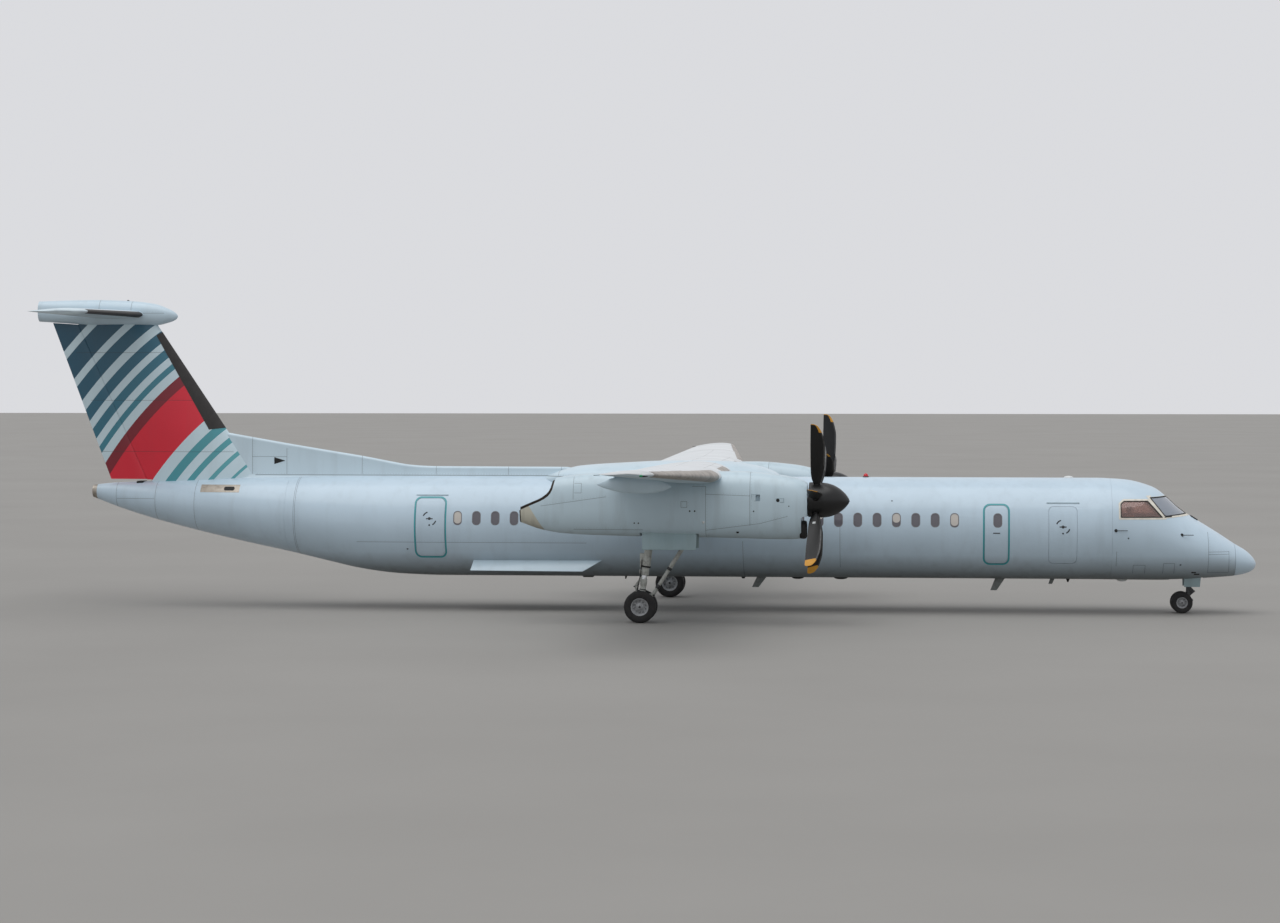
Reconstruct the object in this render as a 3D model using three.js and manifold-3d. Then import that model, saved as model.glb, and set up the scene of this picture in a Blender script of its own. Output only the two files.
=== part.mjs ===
// A twin-turboprop airliner standing on its landing gear, in millimetres.
// X points forward, Y to port and Z up; the origin is on the ground under the middle of its length.
import * as THREE from "three";
import { mergeVertices } from "three/addons/utils/BufferGeometryUtils.js";
import Module from "manifold-3d";

const wasm = await Module();
wasm.setup();

// Driving dimensions: the airframe
const noseX = 16420;
const tailX = -16420;
const halfSpan = 14210;
const topZ = 8340;
const cabinRadius = 1345;
const cabinAxisZ = 2220;
const wallThickness = 80;
const noseJointX = 15840;
const cockpitRearX = 12600;
const tailJointX = -9390;
const cockpitFloorZ = 1600;
const seatGap = 0.3;
const hingeGap = 0.6;
const boreGap = 0.9;

// Driving dimensions: the engines and propellers
const engineY = 4395;
const propX = 5000;
const thrustZ = 3130;
const thrustTilt = 2;
const propRadius = 2055;
const bladeCount = 6;
const spinnerRadius = 440;
const spinnerLength = 1040;
const hubRadius = 200;
const shaftRadius = 60;
const engineRadius = 385;
const engineFrontX = 4550;
const engineRearX = 2150;
const engineZ = 3080;

// Driving dimensions: the landing gear
const mainAxle = { x: 549, z: 406.5, radius: 45 };
const mainTyre = { radius: 406.5, width: 220, rim: 215, offset: 225 };
const mainLegTop = { x: 900, z: 2850 };
const noseAxle = { x: 14489, z: 279.5, radius: 32 };
const noseTyre = { radius: 279.5, width: 165, rim: 140, offset: 195 };
const noseLegX = 14660;
const noseBay = { x1: 14150, x2: 15050, half: 260, top: 1450 };
const gearBay = { x1: 250, x2: 2050, half: 400, top: 2950 };

// Materials
const paint = { color: 0xbad3dd, roughness: 0.35, metalness: 0 };
const glass = { color: 0x3a3640, roughness: 0.05, metalness: 0 };
const blackRubber = { color: 0x15161a, roughness: 0.8, metalness: 0 };
const gearGrey = { color: 0x8c9296, roughness: 0.45, metalness: 0.4 };
const hubGrey = { color: 0x9a9a98, roughness: 0.5, metalness: 0.5 };
const bladeBlack = { color: 0x1a1b1e, roughness: 0.5, metalness: 0 };
const spinnerGrey = { color: 0x2a2b2e, roughness: 0.4, metalness: 0 };
const steel = { color: 0x77736c, roughness: 0.5, metalness: 0.8 };
const trim = { color: 0x4a4640, roughness: 0.8, metalness: 0 };

const aircraft = new THREE.Group();

// Solids and meshes

function solidOf(geometry) {
  const bare = geometry.index ? geometry.toNonIndexed() : geometry.clone();
  bare.deleteAttribute("normal");
  bare.deleteAttribute("uv");
  const merged = mergeVertices(bare, 1e-3);
  const vertProperties = merged.attributes.position.array;
  const triVerts = new Uint32Array(merged.index.array);
  const made = new wasm.Manifold(new wasm.Mesh({ numProp: 3, vertProperties, triVerts }));
  if (made.volume() > 0) return made;
  return new wasm.Manifold(new wasm.Mesh({ numProp: 3, vertProperties, triVerts: triVerts.reverse() }));
}

function geometryOf(solid) {
  const { vertProperties, triVerts } = solid.getMesh();
  const geometry = new THREE.BufferGeometry();
  geometry.setAttribute("position", new THREE.BufferAttribute(vertProperties, 3));
  geometry.setIndex(new THREE.BufferAttribute(triVerts, 1));
  geometry.computeVertexNormals();
  return geometry;
}

function add(name, solid, finish) {
  const mesh = new THREE.Mesh(geometryOf(solid), new THREE.MeshStandardMaterial(finish));
  mesh.name = name;
  aircraft.add(mesh);
  return solid;
}

// What is left of a cut solid: its largest piece.
function largest(solid) {
  return solid.decompose().sort((a, b) => b.volume() - a.volume())[0];
}

function join(solids) {
  return solids.reduce((all, one) => all.add(one));
}

function mirrored(solid) {
  return solid.mirror([0, 1, 0]);
}

// Adds a piece on the port side and its mirror image to starboard.
function addPair(name, portSolid, finish) {
  add(`${name}_left`, portSolid, finish);
  add(`${name}_right`, mirrored(portSolid), finish);
}

// The solid with a thin layer added all round, to cut a seat for it in its neighbour.
function grown(solid, gap) {
  const shifts = [[gap, 0, 0], [-gap, 0, 0], [0, gap, 0], [0, -gap, 0], [0, 0, gap], [0, 0, -gap]];
  return join([solid, ...shifts.map((shift) => solid.translate(shift))]);
}

// A closed skin over rings of points that all have the same number of points.
function loft(rings) {
  const count = rings[0].length;
  const middle = (ring) => [0, 1, 2].map((axis) => ring.reduce((sum, p) => sum + p[axis], 0) / count);
  const points = [...rings.flat(), middle(rings[0]), middle(rings.at(-1))];
  const startCap = points.length - 2;
  const endCap = points.length - 1;
  const lastRing = (rings.length - 1) * count;
  const faces = [];
  for (let j = 0; j < count; j++) {
    const next = (j + 1) % count;
    faces.push(startCap, next, j, endCap, lastRing + j, lastRing + next);
    for (let i = 0; i < rings.length - 1; i++) {
      const low = i * count;
      const high = low + count;
      faces.push(low + j, low + next, high + next, low + j, high + next, high + j);
    }
  }
  const geometry = new THREE.BufferGeometry();
  geometry.setAttribute("position", new THREE.Float32BufferAttribute(points.flat(), 3));
  geometry.setIndex(faces);
  return solidOf(geometry);
}

function box(x1, x2, y1, y2, z1, z2) {
  const geometry = new THREE.BoxGeometry(x2 - x1, y2 - y1, z2 - z1);
  return solidOf(geometry.translate((x1 + x2) / 2, (y1 + y2) / 2, (z1 + z2) / 2));
}

// A round bar between two points, thinner at its second end if another radius is given.
function bar(from, to, radius, sides = 10, endRadius = radius) {
  const start = new THREE.Vector3(...from);
  const along = new THREE.Vector3(...to).sub(start);
  const geometry = new THREE.CylinderGeometry(endRadius, radius, along.length(), sides);
  const upright = new THREE.Vector3(0, 1, 0);
  geometry.applyQuaternion(new THREE.Quaternion().setFromUnitVectors(upright, along.clone().normalize()));
  return solidOf(geometry.translate(...start.addScaledVector(along, 0.5).toArray()));
}

// A side-view outline in X and Z, given its thickness from y1 to y2.
function sidePlate(outline, y1, y2) {
  const shape = new THREE.Shape(outline.map(([x, z]) => new THREE.Vector2(x, z)));
  const geometry = new THREE.ExtrudeGeometry(shape, { depth: y2 - y1, bevelEnabled: false });
  return solidOf(geometry.rotateX(Math.PI / 2).translate(0, y2, 0));
}

// A cross-section outline in Y and Z, given its length from x1 to x2.
function crossPlate(outline, x1, x2) {
  const shape = new THREE.Shape(outline.map(([y, z]) => new THREE.Vector2(y, z)));
  const geometry = new THREE.ExtrudeGeometry(shape, { depth: x2 - x1, bevelEnabled: false });
  const axes = [[0, 1, 0], [0, 0, 1], [1, 0, 0]].map((axis) => new THREE.Vector3(...axis));
  geometry.applyMatrix4(new THREE.Matrix4().makeBasis(...axes));
  return solidOf(geometry.translate(x1, 0, 0));
}

// A ring square to X. Power 2 is an ellipse; a higher power is squarer.
function ringAcrossX({ x, y = 0, top, bottom, half, power = 2 }, sides, inset = 0) {
  const middle = (top + bottom) / 2;
  const halfHeight = (top - bottom) / 2 - inset;
  const bulge = (value) => Math.sign(value) * Math.abs(value) ** (2 / power);
  return Array.from({ length: sides }, (_, j) => {
    const angle = (2 * Math.PI * (j + 0.5)) / sides;
    return [x, y + (half - inset) * bulge(Math.cos(angle)), middle + halfHeight * bulge(Math.sin(angle))];
  });
}

// The value of each column of a table of rows, at a place between two rows.
function rowAt(table, column, place) {
  const order = table.findIndex((row) => row[column] >= place);
  const upper = table[Math.max(order, 1)];
  const lower = table[Math.max(order, 1) - 1];
  const share = (place - lower[column]) / (upper[column] - lower[column]);
  const between = (key) => lower[key] + share * (upper[key] - lower[key]);
  return Object.fromEntries(Object.keys(lower).map((key) => [key, between(key)]));
}

// Fuselage sections, from the cut end of the tail to the tip of the nose
const hullRows = [
  [-14930, 3290, 2950, 170],
  [-14210, 3360, 2678, 330],
  [-13240, 3395, 2376, 530],
  [-11950, 3455, 2043, 760],
  [-10530, 3512, 1721, 985],
  [tailJointX, 3535, 1482, 1140],
  [-8400, 3550, 1253, 1240],
  [-7400, 3560, 1034, 1310],
  [-6400, 3562, 915, 1340],
  [-5200, 3565, 875, 1345],
  [12300, 3565, 875, 1345],
  [cockpitRearX, 3552, 872, 1338],
  [13000, 3525, 870, 1320],
  [13720, 3335, 869, 1245],
  [14080, 3078, 872, 1180],
  [14360, 2820, 880, 1120],
  [14640, 2611, 893, 1050],
  [15000, 2390, 922, 940],
  [15490, 2083, 958, 750],
  [noseJointX, 1850, 990, 575],
  [16170, 1647, 1060, 372],
  [16340, 1480, 1145, 205],
  [16400, 1380, 1230, 95],
  [noseX, 1325, 1285, 25],
];
const hullTable = hullRows.map(([x, top, bottom, half]) => ({ x, top, bottom, half }));
const hullSides = 24;

// The fuselage between two places along X, smaller all round by the inset.
function hull(x1, x2, inset = 0) {
  const inside = hullTable.filter((row) => row.x > x1 + 1 && row.x < x2 - 1);
  const rows = [rowAt(hullTable, "x", x1), ...inside, rowAt(hullTable, "x", x2)];
  return loft(rows.map((row) => ringAcrossX(row, hullSides, inset)));
}

const wholeHull = hull(-14930, noseX, -seatGap);

// Aerofoil surfaces: half thickness at a share of the chord, for a thickness ratio
function halfThickness(f, ratio) {
  const front = 0.2969 * Math.sqrt(f) - 0.126 * f - 0.3516 * f ** 2;
  return 5 * ratio * (front + 0.2843 * f ** 3 - 0.1036 * f ** 4);
}

const boxEnd = 0.72;
const hingeLine = 0.765;

// One lifting surface: stations along its span, its camber, and where a section lies in space.
function surface(stations, camber, place) {
  const point = (row, f, side, gap = 0, thin = 1) => {
    const bow = 4 * camber * f * (1 - f) * row.chord;
    const offset = bow + side * (thin * row.chord * halfThickness(f, row.ratio) + gap);
    return place(row, row.lead + gap - f * (row.chord + 2 * gap), offset);
  };
  const ring = (row, shares, gap) => {
    const upper = shares.map((f) => point(row, f, 1, gap));
    const lower = shares.slice(1).reverse().map((f) => point(row, f, -1, gap));
    return [...upper, ...lower];
  };
  const rearRing = (row) => {
    const shares = [boxEnd, 0.86, 0.999];
    const [upper, lower] = [1, -1].map((side) => shares.map((f) => point(row, f, side)));
    const [upperLap, lowerLap] = [1, -1].map((side) => point(row, boxEnd - 0.02, side, 0, 0.9));
    return [upperLap, ...upper, ...lower.reverse(), lowerLap];
  };
  const rowsBetween = (from, to) => {
    const inside = stations.filter((row) => row.at > from + 1 && row.at < to - 1);
    return [rowAt(stations, "at", from), ...inside, rowAt(stations, "at", to)];
  };
  const frontShares = [0, 0.015, 0.06, 0.18, 0.4, boxEnd];
  const fullShares = [...frontShares, 0.86, 0.999];
  // The nose of a moving surface is round about its hinge, so that it turns in place.
  const trailingRing = (row) => {
    const hinge = point(row, hingeLine, 0);
    const radius = row.chord * halfThickness(hingeLine, row.ratio);
    const nose = [55, 18, -18, -55].map((degrees) => {
      const angle = (degrees * Math.PI) / 180;
      const centre = 4 * camber * hingeLine * (1 - hingeLine) * row.chord;
      const x = row.lead - hingeLine * row.chord + radius * Math.cos(angle);
      return place(row, x, centre + radius * Math.sin(angle));
    });
    const rest = [0.86, 0.999];
    const upper = rest.map((f) => point(row, f, 1)).reverse();
    const lower = rest.map((f) => point(row, f, -1));
    const [upperEdge, lowerEdge] = [1, -1].map((side) => point(row, hingeLine, side));
    return { ring: [...upper, upperEdge, ...nose, lowerEdge, ...lower], hinge };
  };
  return {
    front: (from, to) => loft(rowsBetween(from, to).map((row) => ring(row, frontShares))),
    rear: (from, to) => loft(rowsBetween(from, to).map((row) => rearRing(row))),
    full: (from, to, gap = 0) => loft(rowsBetween(from, to).map((row) => ring(row, fullShares, gap))),
    trailing: (from, to) => loft(rowsBetween(from, to).map((row) => trailingRing(row).ring)),
    hinge: (at) => trailingRing(rowAt(stations, "at", at)).hinge,
    row: (at) => rowAt(stations, "at", at),
  };
}

// A hinge arm that stands behind a fixed surface, with a short pin that meets the moving one's end
const arm = { width: 28, height: 44, pinRadius: 18 };
function hingeArm([x, , z], reach, from, pinEnd) {
  const half = arm.height / 2;
  const plate = box(x - half, x + reach, from, from + arm.width, z - half, z + half);
  return plate.add(bar([x, from, z], [x, pinEnd, z], arm.pinRadius));
}

// Wing: a box across the whole span, with flaps and ailerons behind it
const wingStations = [
  { at: 0, lead: 2630, chord: 2730, z: 3720, ratio: 0.16 },
  { at: 5000, lead: 2630, chord: 2730, z: 3720, ratio: 0.16 },
  { at: 14060, lead: 1745, chord: 1196, z: 4066, ratio: 0.13 },
  { at: 14170, lead: 1650, chord: 1030, z: 4071, ratio: 0.1 },
  { at: halfSpan, lead: 1520, chord: 760, z: 4073, ratio: 0.05 },
];
const wing = surface(wingStations, 0.02, (row, x, offset) => [x, row.at, row.z + offset]);
const innerFlap = { from: 1520, to: 3740 };
const outerFlap = { from: 5050, to: 9640 };
const aileronSpan = { from: 9700, to: 14000 };
const wingTipFrom = 14020;

const flapFairingRows = [
  [2650, 0.5, 1.1],
  [6350, 0.4, 1.13],
  [8700, 0.3, 1.12],
];

// A boat-shaped fairing under the flap track at one place along the span.
function flapFairing([at, from, to], gap) {
  const row = wing.row(at);
  const shape = [[0, 0.15], [0.12, 0.62], [0.35, 1], [0.6, 0.95], [0.85, 0.55], [1, 0.12]];
  const rings = shape.map(([share, size]) => {
    const x = row.lead - row.chord * (from + share * (to - from));
    const middle = row.z - 250 + 40 * share;
    const section = { x, y: at, top: middle + 240 * size, bottom: middle - 190 * size, half: 80 * size };
    return ringAcrossX(section, 8, -gap);
  });
  return loft(rings);
}
const flapFairings = flapFairingRows.map((row) => flapFairing(row, 0));

function wingHalf() {
  const fixed = [wing.front(-1, halfSpan), wing.rear(-1, innerFlap.from - seatGap), ...flapFairings];
  fixed.push(wing.rear(innerFlap.to + 15, outerFlap.from - seatGap), wing.rear(wingTipFrom, halfSpan));
  const innerHinge = wing.hinge(aileronSpan.from);
  const outerHinge = wing.hinge(aileronSpan.to);
  fixed.push(hingeArm(innerHinge, 160, 9655, aileronSpan.from - hingeGap));
  const [outerX, , outerZ] = outerHinge;
  const tipPinEnds = [wingTipFrom + 5, aileronSpan.to + hingeGap].map((y) => [outerX, y, outerZ]);
  fixed.push(bar(...tipPinEnds, arm.pinRadius));
  return join(fixed);
}
const portWing = wingHalf();
const wingSolid = portWing.add(mirrored(portWing));
const halfSeat = wing.full(-1, outerFlap.from + 300, seatGap);
const wingSeat = halfSeat.add(mirrored(halfSeat));
const flapCut = join(flapFairingRows.map((row) => flapFairing(row, seatGap)));

add("wing", wingSolid, paint);
addPair("flap_inboard", largest(wing.trailing(innerFlap.from, innerFlap.to).subtract(flapCut)), paint);
addPair("flap_outboard", largest(wing.trailing(outerFlap.from, outerFlap.to).subtract(flapCut)), paint);
addPair("aileron", wing.trailing(aileronSpan.from, aileronSpan.to), paint);

// Wing fairing on the cabin roof
const fairingTable = [
  [-2400, 3640, 3300, 500],
  [-1500, 3850, 3150, 980],
  [-400, 3930, 3050, 1180],
  [1000, 3990, 3050, 1240],
  [2400, 3980, 3050, 1240],
  [3300, 3850, 3150, 1080],
  [3900, 3640, 3300, 560],
].map(([x, top, bottom, half]) => ({ x, top, bottom, half, power: 2.6 }));
const fairing = loft(fairingTable.map((row) => ringAcrossX(row, 20)));
const wingFairing = add("wing_fairing", largest(fairing.subtract(wholeHull).subtract(wingSeat)), paint);

// Doors set in the fuselage skin: side 1 is port
const panelDepth = 100;
const doorRows = [
  ["aft_service_door", -1, -5780, -5000, 1450, 3000],
  ["emergency_exit", -1, 9290, 9900, 1340, 2870],
  ["forward_baggage_door", -1, 10950, 11690, 1350, 2850],
  ["aft_passenger_door", 1, -5780, -5000, 1250, 3000],
  ["aft_baggage_door", 1, -8300, -7050, 1500, 3000],
];
const doorTable = doorRows.map(([name, side, x1, x2, z1, z2]) => ({ name, side, x1, x2, z1, z2 }));
const outside = 1500;
const innerFlank = 500;

function doorBlock({ side, x1, x2, z1, z2 }, gap) {
  const [y1, y2] = side > 0 ? [innerFlank, outside] : [-outside, -innerFlank];
  return box(x1 + gap, x2 - gap, y1, y2, z1 + gap, z2 - gap);
}

const stairs = { x1: 11390, x2: 12210, z1: 1200, z2: 2873, panel: 90 };
const stairPocket = box(stairs.x1, stairs.x2, 560, outside, stairs.z1, stairs.z2);
const cabinHull = (inset) => hull(tailJointX + seatGap, cockpitRearX, inset);
const plugGap = 4;
let cabin = cabinHull(0);
const recessFloor = cabinHull(panelDepth);
const plugSkin = cabin.subtract(cabinHull(panelDepth - seatGap));
for (const door of doorTable) {
  cabin = cabin.subtract(doorBlock(door, 0).subtract(recessFloor));
  add(door.name, doorBlock(door, plugGap).intersect(plugSkin), paint);
}
cabin = cabin.subtract(stairPocket).subtract(wingSeat);
add("fuselage", largest(cabin), paint);

// Airstair door: a curved panel with treads on its inner side
const stairBlock = box(stairs.x1 + 8, stairs.x2 - 8, 560, outside, stairs.z1 + hingeGap, stairs.z2 - 8);
const stairHull = cabinHull(0);
const stairPanel = stairBlock.intersect(stairHull).subtract(cabinHull(stairs.panel));
const treadRows = [1450, 1720, 1990, 2260, 2530];
const treads = treadRows.map((z) => {
  const skinY = Math.sqrt(cabinRadius ** 2 - (z - cabinAxisZ) ** 2);
  return box(stairs.x1 + 60, stairs.x2 - 60, skinY - 290, skinY - 40, z - 20, z + 20);
});
const cheeks = [stairs.x1 + 40, stairs.x2 - 80].map((x) => {
  return box(x, x + 40, 600, outside, 1300, 2640).intersect(stairHull).subtract(cabinHull(250));
});
add("airstair_door", join([stairPanel, ...treads, ...cheeks]).intersect(stairHull), paint);

// Nose section: a hollow cockpit over a solid lower lobe with the nose gear bay cut in it
const noseOuter = hull(cockpitRearX + seatGap, noseJointX - seatGap);
const cockpitRoom = hull(cockpitRearX - 50, 14900, wallThickness).intersect(
  box(cockpitRearX - 100, 14900, -1500, 1500, cockpitFloorZ, 4000),
);
const windowTable = [
  { name: "side_window", y1: 700, outline: [[12810, 2998], [13520, 3000], [13906, 2562], [12810, 2562]] },
  { name: "windshield", y1: 30, outline: [[13590, 3085], [14080, 3110], [14660, 2640], [13985, 2585]] },
];
const windowCut = ({ y1, outline }) => sidePlate(outline, y1, 1400);
const paneTable = windowTable.map((row) => ({ ...row, cut: windowCut(row) }));
let nose = noseOuter.subtract(cockpitRoom);
nose = nose.subtract(box(noseBay.x1, noseBay.x2, -noseBay.half, noseBay.half, 0, noseBay.top));
for (const { cut } of paneTable) nose = nose.subtract(cut).subtract(mirrored(cut));
add("nose_section", largest(nose), paint);
const glassLayer = hull(12700, 14900, 8).subtract(hull(12650, 14950, 34));
for (const { name, cut } of paneTable) {
  const middle = cut.boundingBox();
  const centre = [0, 2].map((axis) => (middle.min[axis] + middle.max[axis]) / 2);
  const size = [0, 2].map((axis) => middle.max[axis] - middle.min[axis]);
  const shrink = size.map((width) => 1 - (2 * seatGap) / width);
  const pane = cut.translate([-centre[0], seatGap, -centre[1]]).scale([shrink[0], 1, shrink[1]]);
  addPair(name, largest(pane.translate([centre[0], 0, centre[1]]).intersect(glassLayer)), glass);
}
add("radome", hull(noseJointX, noseX), paint);

// Cockpit: floor, two seats, the instrument panel and the console between the seats
const seatY = 480;
const seatPieces = [seatY, -seatY].flatMap((y) => [
  box(13180, 13640, y - 230, y + 230, 1680, 2030),
  box(13080, 13210, y - 230, y + 230, 1680, 2640),
  box(13090, 13190, y - 120, y + 120, 2600, 2800),
]);
const cockpitPieces = [
  box(12700, 14500, -700, 700, cockpitFloorZ + seatGap, 1700),
  box(14100, 14420, -760, 760, 1690, 2420),
  box(13620, 14150, -170, 170, 1690, 2150),
  ...seatPieces,
];
add("cockpit_interior", join(cockpitPieces).intersect(hull(12650, 14800, wallThickness + 20)), trim);

// Tail cone, a hollow shell, with the fin, rudder, dorsal fin and the bullet that carries the tailplane
const coneRoom = hull(-14500, tailJointX + 50, wallThickness);
add("tail_cone", hull(-14930, tailJointX).subtract(coneRoom), paint);
const facetDrop = 7;
const bulletRows = [
  [tailX, 8310, 7750, 215],
  [-15600, 8330, 7700, 290],
  [-14900, topZ + facetDrop, 7640, 310],
  [-13870, 8310, 7630, 310],
  [-13200, 8230, 7640, 265],
  [-12810, 8090, 7720, 170],
  [-12620, 7980, 7800, 80],
  [-12570, 7920, 7860, 25],
];
const bulletTable = bulletRows.map(([x, top, bottom, half]) => ({ x, top, bottom, half }));
const bullet = loft(bulletTable.map((row) => ringAcrossX(row, 16)));
const bulletSeat = loft(bulletTable.map((row) => ringAcrossX(row, 16, -seatGap)));

const finStations = [
  { at: 3100, lead: -10068, chord: 4249, ratio: 0.1 },
  { at: 4950, lead: -11310, chord: 3705, ratio: 0.11 },
  { at: 7900, lead: -13290, chord: 2838, ratio: 0.11 },
];
const fin = surface(finStations, 0, (row, x, offset) => [x, offset, row.at]);
const rudderSpan = { from: 3450, to: 7590 };
const finLower = fin.hinge(rudderSpan.from);
const finUpper = fin.hinge(rudderSpan.to);
const pinTip = 4;
const rudderGap = 0.9;
const rudderPin = (end, far) => bar([end[0], 0, far], [end[0], 0, end[2]], arm.pinRadius, 10, pinTip);
const rudderReach = 260;
const finArm = box(finUpper[0] - 22, finUpper[0] + rudderReach, -22, 22, 7600, 7640);
let finSolid = fin.front(3100, 7900).add(finArm);
finSolid = finSolid.add(rudderPin([finUpper[0], 0, rudderSpan.to + rudderGap], 7610));
const footArm = box(finLower[0] - 22, finLower[0] + rudderReach, -22, 22, 3300, 3435);
finSolid = finSolid.add(footArm).add(rudderPin([finLower[0], 0, rudderSpan.from - rudderGap], 3430));
finSolid = largest(finSolid.subtract(bulletSeat).subtract(wholeHull));
add("fin", finSolid, paint);
// Behind its top pin the rudder rises to follow the bullet's belly.
const rudderCrown = [[-15395, 7550], [-15395, 7655], [-15600, 7668], [-16150, 7700], [-16150, 7550]];
const crown = fin.trailing(7500, 7740).intersect(sidePlate(rudderCrown, -200, 200));
add("rudder", join([fin.trailing(rudderSpan.from, rudderSpan.to), crown]), paint);

const dorsalOutline = [
  [-11500, 4780],
  [-10530, 4609],
  [-7456, 4096],
  [-6400, 3895],
  [-5900, 3835],
  [-5440, 3820],
  [-1900, 3815],
  [-1500, 3700],
  [-1500, 3300],
  [-11500, 3300],
];
const spineHalf = 75;
const dorsal = sidePlate(dorsalOutline, -spineHalf, spineHalf).subtract(wholeHull);
const finSeat = fin.full(3100, 5500, seatGap);
add("dorsal_fin", largest(dorsal.subtract(finSeat).subtract(grown(wingFairing, seatGap))), paint);

// Tailplane and elevators
const tailplaneStations = [
  { at: 0, lead: -13420, chord: 2130, ratio: 0.12 },
  { at: 4540, lead: -13842, chord: 1522, ratio: 0.11 },
  { at: 4610, lead: -13900, chord: 1360, ratio: 0.09 },
  { at: 4635, lead: -14000, chord: 1100, ratio: 0.05 },
];
const tailplaneZ = 7930;
const tailplane = surface(tailplaneStations, 0, (row, x, offset) => [x, row.at, tailplaneZ + offset]);
const elevatorSpan = { from: 430, to: 4500 };
const tipInner = tailplane.hinge(elevatorSpan.to);
const tipPinEnds = [4530, elevatorSpan.to + hingeGap].map((y) => [tipInner[0], y, tailplaneZ]);
const tipPin = bar(...tipPinEnds, arm.pinRadius);
const rootArm = hingeArm(tailplane.hinge(elevatorSpan.from), 130, 385, elevatorSpan.from - hingeGap);
const tailplanePieces = [tailplane.front(-1, 4635), tailplane.rear(4520, 4635), tipPin, rootArm];
const tailplaneSeat = tailplane.full(-1, 4540, seatGap);
const tailplaneHalf = join(tailplanePieces);
const tailplaneSolid = tailplaneHalf.add(mirrored(tailplaneHalf));
add("tailplane", tailplaneSolid, paint);
addPair("elevator", tailplane.trailing(elevatorSpan.from, elevatorSpan.to), paint);
const bulletCut = tailplaneSeat.add(mirrored(tailplaneSeat));
add("tail_bullet", largest(bullet.subtract(bulletCut)), paint);

// Nacelles: sections from the rear tip to the front face behind the spinner
const nacelleRows = [
  [-2580, 3150, 2540, 200, 2.2],
  [-1980, 3500, 2350, 360, 2.3],
  [-1400, 3710, 2255, 450, 2.4],
  [-600, 3780, 2215, 540, 2.6],
  [600, 3810, 2190, 600, 2.8],
  [3000, 3850, 2160, 610, 2.8],
  [4040, 3770, 2130, 580, 2.6],
  [4520, 3680, 2140, 530, 2.4],
  [4780, 3575, 2200, 455, 2.2],
];
const nacelleTable = nacelleRows.map(([x, top, bottom, half, power]) => {
  return { x, y: engineY, top, bottom, half, power };
});
const tiltAngle = (thrustTilt * Math.PI) / 180;
// A point on the port propeller's axis, at a distance ahead of the blades.
function onThrustLine(ahead) {
  return [propX + ahead * Math.cos(tiltAngle), engineY, thrustZ - ahead * Math.sin(tiltAngle)];
}
const nacelleSkin = loft(nacelleTable.map((row) => ringAcrossX(row, 20)));
const engineBayEnds = [engineRearX - seatGap, 4620].map((x) => [x, engineY, engineZ]);
const engineBay = bar(...engineBayEnds, engineRadius + 15, 20);
const shaftHole = bar(onThrustLine(-500), onThrustLine(-100), 130, 20);
const intake = box(4250, 4900, engineY - 250, engineY + 250, 2270, 2560);
const bay = box(gearBay.x1, gearBay.x2, engineY - gearBay.half, engineY + gearBay.half, 1500, gearBay.top);
const exhaustOutline = [
  [-1370, 3900],
  [-1600, 3560],
  [-1760, 3330],
  [-1900, 3120],
  [-2700, 2790],
  [-2900, 3900],
];
const exhaustCut = sidePlate(exhaustOutline, engineY - 800, engineY + 800);
const exhaustDuct = bar([-2500, engineY, 3250], [-900, engineY, 3330], 300, 20, 240);
const nacelleCuts = [wingSeat, engineBay, shaftHole, intake, bay, exhaustCut, exhaustDuct];
const nacelle = largest(nacelleCuts.reduce((left, cut) => left.subtract(cut), nacelleSkin));
addPair("nacelle", nacelle, paint);
const engineBlock = bar([engineRearX, engineY, engineZ], [engineFrontX, engineY, engineZ], engineRadius, 20);
const engineShaft = bar(onThrustLine(-500), onThrustLine(-60), shaftRadius, 24);
addPair("engine", engineBlock.add(engineShaft), steel);

// Propellers: the hub, its blades standing out through the spinner, feathered
const bladeRows = [
  [400, 112, 100, 0, 14],
  [600, 270, 72, 0, 10],
  [950, 355, 48, 12, 5],
  [1450, 368, 30, 4, -1],
  [1800, 300, 20, -35, -5],
  [1980, 205, 14, -85, -6],
  [propRadius, 70, 8, -140, -7],
];
const bladeTable = bladeRows.map(([radius, chord, thickness, sweep, twist]) => {
  return { radius, chord, thickness, sweep, twist };
});

// A blade that stands straight up from the middle of its hub, its front edge towards +X.
function blade() {
  const outline = [[0.5, 0], [0.3, 0.8], [-0.05, 1], [-0.5, 0.05], [-0.05, -1], [0.3, -0.8]];
  const rings = bladeTable.map(({ radius, chord, thickness, sweep, twist }) => {
    const turn = (twist * Math.PI) / 180;
    const [cosine, sine] = [Math.cos(turn), Math.sin(turn)];
    return outline.map(([u, v]) => {
      const x = u * chord;
      const y = (v * thickness) / 2;
      return [x * cosine - y * sine + sweep, x * sine + y * cosine, radius];
    });
  });
  return loft(rings).add(bar([0, 0, 120], [0, 0, 430], 62, 8));
}

const hubFront = 190;
const hubBack = -185;
const oneBlade = blade();
const aroundHub = (solid) => {
  return Array.from({ length: bladeCount }, (_, k) => solid.rotate([(360 / bladeCount) * k, 0, 0]));
};
const hubBody = bar([hubBack, 0, 0], [hubFront, 0, 0], hubRadius, 18);
const shaftBore = bar([hubBack - 10, 0, 0], [-40, 0, 0], shaftRadius + boreGap, 24);
const propeller = join([hubBody, ...aroundHub(oneBlade)]).subtract(shaftBore);
const spinnerBack = -195;
const spinnerProfile = [
  [0, spinnerBack],
  [spinnerRadius, spinnerBack],
  [spinnerRadius, 150],
  [428, 280],
  [389, 420],
  [319, 560],
  [220, 690],
  [93, 800],
  [0, spinnerLength + spinnerBack],
].map(([radius, along]) => new THREE.Vector2(radius, along));
const spinnerSkin = solidOf(new THREE.LatheGeometry(spinnerProfile, 20).rotateZ(-Math.PI / 2));
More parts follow.
